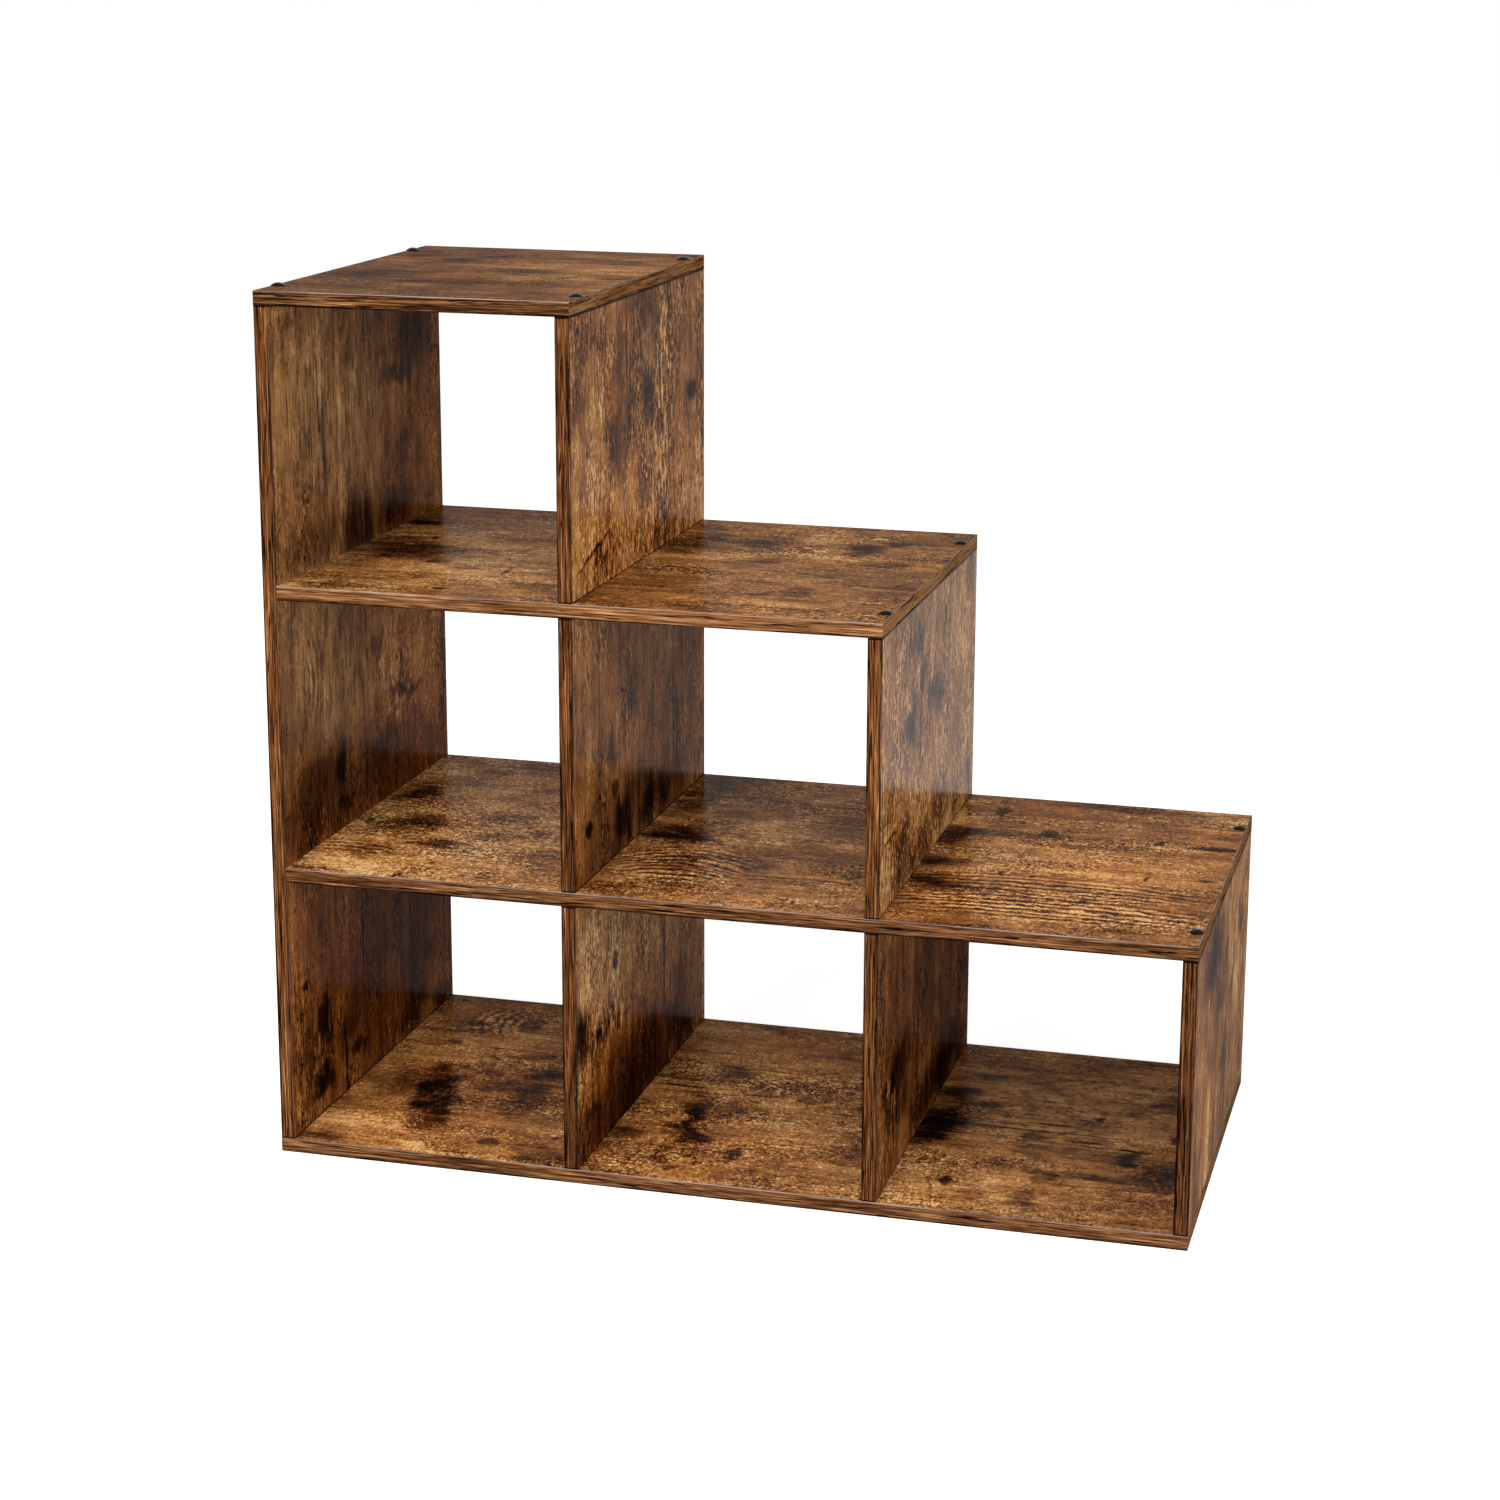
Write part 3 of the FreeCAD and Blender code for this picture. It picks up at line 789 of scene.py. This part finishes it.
        # Upright bands get painted contact shadow at both ends
        if self.grain is GrainAxis.UPRIGHT:
            shaded_joint = kit.times(self.seam(kit, along, finish.seam), finish.joint_shade_strength)
            edge_shade = kit.math("MAXIMUM", kit.times(edge_shade, finish.upright_edge_shade), shaded_joint)
        band = kit.group(shared.band.tree, Place=kit.join(run, through, depth), Seed=self.offset,
                         Tone=kit.weigh(at_end, finish.end_tone, self.band + tone),
                         Arris=kit.times(arris, kit.weigh(at_end, -pale, pale)),
                         Ash=ash, Grime=edge_shade).outputs
        dress_shader(kit, shader, band["Color"], band["Roughness"], band["Height"], finish.relief)
        shader.inputs["Specular IOR Level"].default_value = finish.specular
        put_material(node, material)


@dataclass(frozen=True)
class CapFinish:
    """Glossy black plastic with faint moulding ripple and handling scuffs."""

    colour: Colour = (0.0022, 0.0022, 0.0026)
    scuffed: Colour = (0.0065, 0.0066, 0.0074)
    specular: float = 0.08
    relief: Relief = Relief(0.12, 0.0004)

    def make(self) -> bpy.types.Material:
        """Makes the plastic.

        Returns:
            The material.
        """
        material, kit, shader = new_material("cap_plastic")
        here = kit.add("ShaderNodeTexCoord").outputs["Object"]
        ripple = kit.noise(here, (260.0, 260.0, 260.0))
        scuff = kit.fade(kit.noise(here, (900.0, 500.0, 900.0), detail=4.0, roughness=0.7), 0.52, 0.70)
        colour = kit.mix(scuff, self.colour, self.scuffed)
        dress_shader(kit, shader, colour, kit.weigh(scuff, 0.16, 0.11), ripple, self.relief)
        shader.inputs["Specular IOR Level"].default_value = self.specular
        return material


@dataclass(frozen=True)
class ScrewFinish:
    """Zinc-plated steel with a patchy passivated tint."""

    zinc: Colour = (0.52, 0.53, 0.55)
    tint: Colour = (0.44, 0.42, 0.38)
    relief: Relief = Relief(0.15, 0.0002)

    def make(self) -> bpy.types.Material:
        """Makes the steel.

        Returns:
            The material.
        """
        material, kit, shader = new_material("screw_zinc")
        here = kit.add("ShaderNodeTexCoord").outputs["Object"]
        patch = kit.noise(here, (120.0, 120.0, 120.0), detail=4.0)
        scratch = kit.noise(here, (400.0, 400.0, 2600.0))
        colour = kit.mix(kit.fade(patch, 0.42, 0.62), self.zinc, self.tint)
        dress_shader(kit, shader, colour, kit.weigh(scratch, 0.3, 0.2), scratch, self.relief)
        shader.inputs["Metallic"].default_value = 1.0
        return material


@dataclass(frozen=True)
class DowelFinish:
    """Beech with short flecks along its grain."""

    dark: Colour = (0.40, 0.24, 0.12)
    light: Colour = (0.62, 0.42, 0.24)
    relief: Relief = Relief(0.3, 0.0003)

    def make(self) -> bpy.types.Material:
        """Makes the beech.

        Returns:
            The material.
        """
        material, kit, shader = new_material("dowel_beech")
        here = kit.add("ShaderNodeTexCoord").outputs["Object"]
        grain = kit.noise(here, (260.0, 900.0, 260.0), detail=4.0, roughness=0.65)
        colour = kit.mix(kit.fade(grain, 0.36, 0.64), self.light, self.dark)
        dress_shader(kit, shader, colour, kit.weigh(grain, 0.25, 0.55), grain, self.relief)
        return material


def extent(node: str, axis: int) -> float:
    """How long a CAD node is along one row axis, in metres."""
    low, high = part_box(node)
    return high[axis] - low[axis]


def new_material(name: str) -> tuple[bpy.types.Material, NodeKit, bpy.types.Node]:
    """Makes a material with one Principled shader.

    Args:
        name: The material's name.

    Returns:
        The material, its node kit and its shader node.
    """
    material = bpy.data.materials.new(name)
    material.use_nodes = True
    return material, NodeKit(material.node_tree), material.node_tree.nodes["Principled BSDF"]


def dress_shader(kit: NodeKit, shader: bpy.types.Node, colour: Socket, roughness: Socket, height: Socket,
                 relief: Relief) -> None:
    """Feeds a shader with what changes over the surface.

    Args:
        kit: The material's node kit.
        shader: The shader node.
        colour: The base colour.
        roughness: The roughness.
        height: The height of the bump.
        relief: How strong the bump is.
    """
    kit.feed(shader.inputs["Base Color"], colour)
    kit.feed(shader.inputs["Roughness"], roughness)
    bump = kit.add("ShaderNodeBump", Height=height, Strength=relief.strength, Distance=relief.height)
    kit.feed(shader.inputs["Normal"], bump.outputs[0])


def put_material(node: str, material: bpy.types.Material) -> None:
    """Gives a CAD node one material.

    Args:
        node: The node's name.
        material: The material.
    """
    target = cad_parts[node]
    target.data.materials.clear()
    target.data.materials.append(material)
    LOG.info("dressed %s with %s", node, material.name)


@dataclass(frozen=True)
class Lamp:
    """A square soft lamp aimed at the middle of the shelf, in metres and watts."""

    name: str
    place: Triple
    power: float
    side: float = 2.4
    aim: Triple = (0.0, 0.0, 0.4)

    def build(self) -> None:
        """Hangs the lamp, hidden from the camera."""
        light = bpy.data.lights.new(self.name, "AREA")
        light.size = self.side
        light.energy = self.power
        lamp = bpy.data.objects.new(self.name, light)
        lamp.location = self.place
        towards = Vector(self.aim) - Vector(self.place)
        lamp.rotation_euler = towards.to_track_quat("-Z", "Y").to_euler()
        lamp.visible_camera = False
        bpy.context.scene.collection.objects.link(lamp)


@dataclass(frozen=True)
class Studio:
    """White floor, white surroundings and soft lamps."""

    floor_half: float = 30.0
    floor_drop: float = 0.0006
    floor_colour: Colour = (0.80, 0.80, 0.80)
    lift: float = 0.80
    sky: float = 0.25
    lamps: tuple[Lamp, ...] = (
        Lamp("key", (0.0, -2.3, 2.9), 95.0),
        Lamp("side", (2.2, -2.8, 1.6), 55.0),
        Lamp("fill", (-0.2, -3.4, 1.2), 110.0),
    )

    def build(self) -> None:
        """Makes the floor, the world and the lamps."""
        self.build_floor()
        self.build_world()
        for lamp in self.lamps:
            lamp.build()

    def seen_white(self, kit: NodeKit) -> Socket:
        """Which rays see the white studio.

        Args:
            kit: The node kit of the floor's material or of the world.

        Returns:
            1 for rays from the camera, and for those off gloss or through glass.
        """
        path = kit.add("ShaderNodeLightPath").outputs
        gloss = kit.math("MAXIMUM", path["Is Glossy Ray"], path["Is Transmission Ray"])
        return kit.math("MAXIMUM", path["Is Camera Ray"], gloss)

    def build_floor(self) -> None:
        """A plain pale floor that keeps the object's shadow."""
        half = self.floor_half
        corners = [(-half, -half, 0), (half, -half, 0), (half, half, 0), (-half, half, 0)]
        mesh = bpy.data.meshes.new("floor")
        mesh.from_pydata(corners, [], [(0, 1, 2, 3)])
        floor = bpy.data.objects.new("floor", mesh)
        floor.location.z = -self.floor_drop
        bpy.context.scene.collection.objects.link(floor)
        material, kit, shader = new_material("floor_paper")
        kit.feed(shader.inputs["Base Color"], self.floor_colour)
        shader.inputs["Roughness"].default_value = 1.0
        shader.inputs["Specular IOR Level"].default_value = 0.0
        kit.feed(shader.inputs["Emission Color"], WHITE)
        kit.feed(shader.inputs["Emission Strength"], kit.times(self.seen_white(kit), self.lift))
        mesh.materials.append(material)

    def build_world(self) -> None:
        """Even soft light from all round, seen as white."""
        world = bpy.data.worlds.new("studio")
        bpy.context.scene.world = world
        world.use_nodes = True
        kit = NodeKit(world.node_tree)
        back = world.node_tree.nodes["Background"]
        kit.feed(back.inputs["Color"], WHITE)
        strength = kit.weigh(self.seen_white(kit), 1.0 - self.sky, self.sky)
        kit.feed(back.inputs["Strength"], strength)


@dataclass(frozen=True)
class ViewCamera:
    """The photograph's viewpoint."""

    place: Triple = (0.71127, -2.70409, 1.12539)
    turn: Triple = (76.7801, -0.3489, 14.5208)
    lens: float = 72.988
    sensor: float = 36.0
    shift: tuple[float, float] = (-0.0296, -0.0667)

    def build(self) -> None:
        """Makes the camera and hands it to the scene."""
        data = bpy.data.cameras.new("view")
        data.sensor_width = self.sensor
        data.lens = self.lens
        data.shift_x, data.shift_y = self.shift
        camera = bpy.data.objects.new("view", data)
        camera.location = self.place
        camera.rotation_euler = [math.radians(angle) for angle in self.turn]
        bpy.context.scene.collection.objects.link(camera)
        bpy.context.scene.camera = camera


LEVEL = GrainAxis.LEVEL
UPRIGHT = GrainAxis.UPRIGHT
# A mark's numbers: along, across, length and width in millimetres, strength, turn in degrees
burn_and_shade = partial(Mark, MarkKind.BURN)
glow = partial(Mark, MarkKind.GLOW)
knot = partial(Mark, MarkKind.KNOT)
crack = partial(Mark, MarkKind.CRACK)
rings = partial(Mark, MarkKind.RINGS)
flake = partial(Mark, MarkKind.FLAKE)
ash = partial(Mark, MarkKind.ASH)

BOARDS = (
    Board("bottom_board", LEVEL, seed=1, tone=0.02, sheen=0.6, rough=0.95, marks=(
        ash(720, 230, 300, 440, 0.6), ash(130, 200, 260, 430, -0.4), ash(430, 200, 260, 430, -0.2),
        flake(715, 300, 300, 260, -0.55), flake(735, 55, 240, 120, -0.35), flake(440, 340, 200, 150, -0.3),
        # The broad golden wash at 140, 190 is painted light over the floor of the left cell
        glow(140, 190, 300, 430, 0.55), rings(90, 352, 110, 80, 0.85, 90), knot(128, 350, 24, 38, 0.5),
        burn_and_shade(60, 341, 28, 18, 0.6), burn_and_shade(68, 315, 34, 12, 0.5), knot(65, 284, 22, 9, 0.6),
        crack(110, 278, 18, 5, 0.6), burn_and_shade(165, 262, 46, 22, 0.4), burn_and_shade(85, 208, 30, 34, 0.8),
        burn_and_shade(93, 163, 28, 70, 0.95), burn_and_shade(108, 116, 34, 66, 0.9), burn_and_shade(114, 76, 28, 44, 0.7),
        burn_and_shade(62, 168, 56, 70, 0.45), burn_and_shade(125, 215, 30, 24, 0.4), burn_and_shade(195, 218, 34, 28, 0.7),
        burn_and_shade(152, 178, 30, 28, 0.4), burn_and_shade(188, 173, 30, 34, 0.6), burn_and_shade(190, 136, 40, 40, 0.35),
        glow(75, 65, 90, 50, 2.1), glow(60, 100, 60, 30, 0.6), glow(235, 58, 20, 8, 0.9),
        glow(130, 10, 40, 20, 2.4), glow(170, 94, 60, 50, 0.4), burn_and_shade(28, 15, 44, 24, 0.6),
        knot(192, 42, 22, 16, 0.5), burn_and_shade(240, 10, 34, 18, 0.5), glow(430, 190, 270, 430, 0.65),
        crack(325, 228, 56, 4), glow(321, 173, 50, 90, 0.7), burn_and_shade(358, 158, 26, 86),
        burn_and_shade(372, 113, 28, 44, 0.8), burn_and_shade(390, 178, 46, 44, 0.45), crack(390, 288, 84, 3, 0.8),
        burn_and_shade(368, 275, 34, 26, 0.6), flake(405, 247, 70, 40, 0.8), burn_and_shade(408, 223, 30, 12, 0.6),
        burn_and_shade(312, 94, 30, 34, 0.6), glow(315, 78, 40, 12, 0.6), burn_and_shade(360, 47, 14, 30, 0.6),
        burn_and_shade(378, 29, 16, 14, 0.6), burn_and_shade(425, 63, 18, 30, 0.6), flake(480, 257, 110, 80, 0.7),
        burn_and_shade(455, 226, 24, 14, 0.5), crack(500, 194, 26, 4, 0.8), burn_and_shade(512, 216, 26, 18, 0.4),
        glow(485, 152, 90, 50, 0.35), burn_and_shade(528, 105, 40, 36, 0.5), burn_and_shade(590, 194, 44, 90),
        burn_and_shade(595, 284, 40, 30, 0.8), knot(607, 189, 16, 6, 0.9), flake(610, 226, 60, 40, 0.8),
        crack(680, 206, 160, 3, 0.9), crack(700, 224, 44, 5, 0.9), burn_and_shade(692, 194, 36, 22, 0.6),
        crack(735, 187, 30, 6, 0.8), crack(783, 178, 36, 4, 0.9), burn_and_shade(783, 158, 28, 24, 0.8),
        burn_and_shade(690, 152, 30, 20, 0.35), burn_and_shade(668, 119, 30, 16, 0.45), burn_and_shade(620, 257, 36, 18, 0.5),
        burn_and_shade(800, 299, 30, 18, 0.7), knot(741, 249, 9, 9, 0.8), knot(820, 215, 14, 16, 0.7),
        burn_and_shade(828, 126, 48, 70, 0.5), glow(690, 82, 110, 18, 0.8), glow(755, 78, 60, 20, 0.8),
        knot(626, 65, 10, 20, 0.9), crack(617, 42, 3, 84, 0.35, 12), burn_and_shade(708, 97, 26, 24, 0.5),
        burn_and_shade(705, 37, 26, 36, 0.6), glow(690, 26, 110, 40, 0.35), burn_and_shade(760, 105, 70, 16, 0.4),
    )),
    Board("lower_shelf", LEVEL, seed=2, tone=0.02, sheen=1.05, band=-0.05, marks=(
        # The broad golden wash at 120, 190 is painted light over the floor of the left cell
        ash(720, 140, 320, 340, -0.35), ash(420, 280, 240, 260, 0.25), glow(120, 190, 330, 430, 1.2),
        burn_and_shade(28, 275, 32, 54, 0.8), knot(28, 258, 18, 12, 0.9), burn_and_shade(64, 174, 56, 50, 0.9),
        burn_and_shade(50, 160, 60, 24, 0.65), burn_and_shade(105, 113, 38, 16, 0.9), burn_and_shade(160, 142, 50, 28, 0.45),
        burn_and_shade(190, 163, 28, 22, 0.4), burn_and_shade(215, 94, 46, 34, 0.35), burn_and_shade(55, 76, 46, 34, 0.45),
        rings(30, 82, 120, 50, 0.7), knot(183, 28, 13, 30, 0.35), crack(106, 8, 5, 14),
        knot(122, 52, 6, 5, 0.8), burn_and_shade(125, 296, 26, 16, 0.35), burn_and_shade(120, 394, 40, 40, 0.35),
        glow(45, 19, 120, 80, 2.2), glow(90, 58, 90, 50, 0.5), glow(20, 136, 50, 44, 0.6),
        glow(75, 118, 60, 30, 0.5), glow(30, 226, 60, 60, 0.35), burn_and_shade(320, 203, 62, 44, 0.95),
        burn_and_shade(300, 304, 34, 70, 0.6), burn_and_shade(308, 368, 30, 80, 0.45), rings(350, 113, 170, 150, 1.0),
        glow(385, 116, 50, 14, 0.8), glow(350, 58, 140, 14, 0.4), burn_and_shade(422, 118, 30, 24, 0.4),
        burn_and_shade(350, 286, 46, 22, 0.3), burn_and_shade(470, 275, 60, 44, 0.35), glow(370, 334, 90, 12, 0.5),
        glow(400, 380, 40, 40, 0.25), burn_and_shade(310, 21, 60, 40, 0.35), rings(470, 89, 140, 40, 0.6),
        knot(606, 365, 17, 26, 0.7), knot(664, 301, 18, 23, 0.75), knot(622, 286, 20, 12, 0.45),
        knot(772, 296, 11, 13, 0.7), knot(632, 331, 7, 6, 0.6), burn_and_shade(578, 275, 44, 58),
        burn_and_shade(580, 187, 46, 36), burn_and_shade(590, 124, 50, 36, 0.7), burn_and_shade(635, 107, 60, 8, 0.6),
        knot(826, 291, 44, 11, 0.9), glow(811, 297, 12, 6), burn_and_shade(720, 405, 120, 16, 0.45),
        rings(700, 134, 340, 76, 1.2), rings(705, 70, 380, 90, 1.35), crack(642, 163, 5, 9),
        crack(775, 181, 4, 13), crack(729, 99, 9, 5), crack(762, 71, 5, 9), crack(830, 189, 13, 7, 0.8),
        crack(673, 160, 5, 6, 0.9), glow(720, 200, 260, 90, 0.55), glow(730, 63, 260, 100, 0.7),
        glow(575, 388, 30, 20, 0.5),
    )),
    Board("upper_shelf", LEVEL, seed=3, tone=-0.01, sheen=0.85, band=0.10, rough=0.95, marks=(
        ash(110, 120, 240, 260, 0.35), ash(430, 220, 280, 430, 0.25), flake(110, 160, 280, 340, -0.35),
        # The broad golden wash at 120, 190 is painted light over the floor of the left cell
        flake(430, 140, 250, 260, -0.3), burn_and_shade(312, 110, 70, 200, 0.09), glow(120, 190, 330, 430, 0.9),
        burn_and_shade(15, 326, 36, 20, 0.9), burn_and_shade(52, 189, 100, 66, 0.95), knot(80, 181, 12, 22, 0.9),
        knot(40, 158, 16, 20, 0.8), burn_and_shade(92, 149, 26, 16, 0.8), crack(55, 252, 5, 11),
        burn_and_shade(30, 236, 50, 30, 0.5), knot(146, 32, 16, 9, 0.7), burn_and_shade(135, 126, 14, 16, 0.4),
        crack(177, 121, 4, 34, 0.6, 5), glow(50, 74, 130, 100, 0.6), glow(30, 284, 50, 40, 0.4),
        burn_and_shade(20, 21, 16, 10, 0.5), burn_and_shade(302, 294, 36, 46, 0.5), burn_and_shade(300, 252, 28, 26, 0.5),
        flake(325, 178, 80, 70, 0.6), glow(465, 359, 32, 26), flake(480, 368, 70, 20, 0.9),
        burn_and_shade(492, 341, 26, 14, 0.7), burn_and_shade(472, 304, 24, 56, 0.6), burn_and_shade(396, 226, 40, 8, 0.6),
        burn_and_shade(520, 247, 50, 14, 0.4), flake(405, 289, 70, 40, 0.6), burn_and_shade(430, 86, 22, 24, 0.35),
        burn_and_shade(400, 21, 60, 24, 0.3), glow(400, 352, 200, 70, 0.5), glow(330, 94, 60, 30, 0.4),
        glow(520, 173, 60, 20, 0.5), rings(520, 152, 80, 30, 0.5),
    )),
    Board("top_board", LEVEL, seed=4, tone=-0.065, sheen=0.7, band=-0.11, rough=0.45, marks=(
        ash(140, 200, 290, 420, 0.15), burn_and_shade(50, 158, 90, 60, 0.42), burn_and_shade(165, 118, 160, 44, 0.42),
        burn_and_shade(172, 215, 70, 44, 0.35), burn_and_shade(272, 178, 24, 16, 0.5), burn_and_shade(85, 294, 36, 34, 0.4),
        burn_and_shade(240, 315, 46, 34, 0.35), glow(110, 80, 36, 30, 0.6), glow(102, 42, 26, 80, 0.6),
        glow(120, 307, 60, 20, 0.3), glow(220, 189, 60, 40, 0.3), glow(250, 21, 80, 20, 0.4),
    )),
    Board("left_side", UPRIGHT, seed=5, sheen=0.6, band=0.08, rough=0.55, marks=(
        ash(680, 120, 280, 280, 1.0), ash(430, 100, 220, 240, 1.1), ash(120, 200, 310, 470, -0.8),
        ash(420, 340, 250, 190, -0.7), ash(660, 370, 260, 140, -0.6), flake(670, 170, 270, 340, -0.5),
        flake(440, 130, 210, 260, -0.45), glow(430, 335, 190, 190, 2.4), burn_and_shade(450, 60, 170, 110, 0.21),
        # The broad dark wash at 130, 210 is painted shade over the left wall's bottom row
        glow(670, 120, 210, 240, 0.45), burn_and_shade(300, 130, 80, 330, 0.45), burn_and_shade(130, 210, 300, 460, 0.32),
        glow(640, 278, 140, 46, 0.7), glow(655, 242, 60, 30, 0.5), burn_and_shade(690, 307, 20, 80, 0.55),
        burn_and_shade(640, 116, 90, 14, 0.4), burn_and_shade(550, 191, 60, 76, 0.5), burn_and_shade(552, 286, 40, 90, 0.5),
        burn_and_shade(555, 94, 40, 140, 0.3), flake(575, 63, 70, 120, 0.5), burn_and_shade(720, 346, 60, 80, 0.5),
        rings(430, 79, 110, 60, 0.5), burn_and_shade(365, 307, 13, 84, 0.6), rings(366, 299, 40, 110, 0.5),
        burn_and_shade(333, 136, 42, 30, 0.95), burn_and_shade(325, 110, 70, 130, 0.5), burn_and_shade(290, 145, 26, 30, 0.85),
        burn_and_shade(300, 74, 40, 60, 0.5), burn_and_shade(325, 247, 34, 80, 0.5), burn_and_shade(430, 226, 14, 36, 0.4),
        burn_and_shade(430, 299, 24, 30, 0.4), burn_and_shade(400, 410, 190, 20, 0.4), rings(400, 300, 40, 60, 0.6),
        glow(340, 284, 40, 120, 0.35), crack(135, 176, 76, 4), crack(28, 128, 64, 5, 1.0, -4),
        burn_and_shade(95, 80, 46, 30, 0.95), burn_and_shade(30, 74, 28, 54), burn_and_shade(30, 160, 26, 46, 0.8),
        knot(140, 35, 9, 16, 0.8), knot(110, 194, 9, 10, 0.6), burn_and_shade(70, 131, 50, 66, 0.5),
        burn_and_shade(75, 357, 34, 46, 0.5), burn_and_shade(25, 299, 30, 110, 0.5), glow(15, 58, 30, 50, 0.5),
        glow(14, 136, 26, 60, 0.6), flake(60, 52, 110, 90, 0.5), burn_and_shade(10, 388, 30, 60, 0.6),
    )),
    Board("lower_left_divider", UPRIGHT, seed=6, tone=0.03, sheen=0.65, band=0.02, rough=0.75, marks=(
        ash(190, 120, 140, 260, 0.6), ash(40, 150, 130, 340, -0.9), glow(185, 200, 130, 460, 1.1),
        burn_and_shade(20, 150, 90, 320, 0.7), glow(168, 34, 34, 56, 1.4), knot(165, 116, 17, 14, 0.75),
        burn_and_shade(125, 16, 44, 40, 0.95), flake(108, 94, 26, 150), burn_and_shade(108, 63, 12, 60, 0.8),
        burn_and_shade(38, 47, 22, 34, 0.85), crack(110, 274, 120, 4, 0.9, 3), burn_and_shade(48, 244, 42, 46, 0.6),
        burn_and_shade(35, 299, 40, 66, 0.7), burn_and_shade(20, 341, 34, 60, 0.6), burn_and_shade(85, 326, 34, 36, 0.3),
        glow(75, 63, 60, 80, 0.4),
    )),
    Board("lower_right_divider", UPRIGHT, seed=7, tone=-0.07, sheen=0.15, rough=0.6, marks=(
        knot(92, 63, 24, 20), flake(62, 69, 40, 60), flake(90, 34, 50, 26, 0.9), burn_and_shade(100, 97, 46, 66, 0.6),
        burn_and_shade(60, 94, 40, 60, 0.5), burn_and_shade(25, 273, 44, 210, 0.6), knot(165, 21, 6, 6, 0.7),
        glow(30, 29, 70, 54, 1.0),
    )),
    Board("lower_right_side", UPRIGHT, seed=8, tone=0.05, sheen=0.65, band=-0.03, rough=0.8, marks=(
        flake(130, 210, 290, 450, -0.4), burn_and_shade(220, 126, 54, 130, 0.65), burn_and_shade(195, 226, 66, 26, 0.5),
        burn_and_shade(185, 352, 28, 44, 0.65), burn_and_shade(85, 226, 34, 46, 0.4), glow(80, 121, 66, 28, 0.7),
        burn_and_shade(150, 210, 30, 80, 0.3), glow(40, 315, 80, 120, 0.25),
    )),
    Board("middle_divider", UPRIGHT, seed=9, tone=0.05, sheen=0.8, band=0.02, rough=0.6, marks=(
        ash(140, 150, 260, 430, 0.35), burn_and_shade(20, 150, 80, 300, 0.3), knot(48, 42, 17, 21),
        knot(65, 121, 17, 22, 0.55), burn_and_shade(28, 142, 50, 56, 1.15), burn_and_shade(25, 223, 50, 48, 1.15),
        burn_and_shade(50, 173, 44, 70, 0.6), burn_and_shade(25, 271, 34, 50, 0.8), burn_and_shade(105, 107, 22, 36, 0.4),
        knot(72, 74, 6, 7, 0.7), crack(70, 320, 110, 7, 0.5), crack(90, 307, 90, 5, 0.4),
        glow(25, 21, 46, 24, 0.6), glow(80, 326, 100, 6, 0.3),
    )),
    Board("middle_right_side", UPRIGHT, seed=10, tone=0.07, sheen=2.2, band=0.10, rough=1.1, marks=(
        glow(40, 200, 130, 460, 1.6), glow(180, 158, 60, 40, 0.7), crack(150, 163, 110, 4, 0.8),
        glow(80, 174, 66, 14, 0.8), flake(210, 136, 70, 60, 0.6), burn_and_shade(145, 121, 22, 46, 0.8),
        burn_and_shade(185, 174, 34, 22, 0.8), burn_and_shade(150, 229, 34, 66, 0.7), burn_and_shade(225, 147, 24, 66, 0.6),
        burn_and_shade(50, 86, 32, 46, 0.8), burn_and_shade(28, 89, 44, 56, 0.5), burn_and_shade(15, 128, 28, 34, 0.6),
        burn_and_shade(20, 189, 38, 54, 0.9), burn_and_shade(35, 252, 54, 66, 0.65), glow(40, 290, 44, 20, 0.9),
        burn_and_shade(20, 328, 24, 24, 0.6), glow(18, 341, 20, 10, 0.6), burn_and_shade(25, 394, 50, 20, 0.4),
        crack(62, 42, 4, 50, 0.8), flake(70, 26, 80, 50, 0.6),
    )),
    Board("upper_right_side", UPRIGHT, seed=11, tone=0.02, sheen=1.25, band=0.05, rough=0.85, marks=(
        ash(40, 200, 150, 470, -0.8), glow(40, 200, 130, 460, 2.2), glow(190, 38, 44, 26, 0.9),
        glow(165, 69, 30, 34, 0.6), glow(215, 278, 70, 28, 0.8), glow(175, 281, 90, 40, 0.6),
        glow(105, 232, 56, 30, 0.8), glow(92, 21, 40, 36, 0.5), flake(150, 284, 220, 70),
        flake(40, 247, 80, 60, 0.8), knot(140, 374, 19, 32, 0.75), burn_and_shade(150, 231, 46, 32, 0.7),
        burn_and_shade(125, 126, 44, 46, 0.45), burn_and_shade(72, 218, 50, 44, 0.6), burn_and_shade(236, 226, 34, 56, 0.4),
        burn_and_shade(216, 84, 14, 46, 0.4), crack(35, 63, 4, 86, 1.0, -14), burn_and_shade(28, 84, 13, 34, 0.8),
        burn_and_shade(20, 273, 34, 70, 0.5), flake(20, 136, 40, 200, 0.4),
    )),
)


def main() -> None:
    """Builds the scene piece by piece."""
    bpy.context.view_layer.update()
    bpy.context.scene.view_settings.view_transform = "Standard"
    shared = Shared(MarkGroup(), RingsGroup(), PrintGroup(), BandGroup())
    for board in BOARDS:
        board.dress(LaminateFinish(), shared)
        board.dress_bands(BandFinish(), shared)
    for ending, material in (("_caps", CapFinish().make()), ("_screws", ScrewFinish().make()),
                             ("_dowels", DowelFinish().make())):
        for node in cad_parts:
            if node.endswith(ending):
                put_material(node, material)
    Studio().build()
    ViewCamera().build()


if __name__ == "__main__":
    logging.basicConfig(level=logging.INFO, format="%(message)s")
    main()
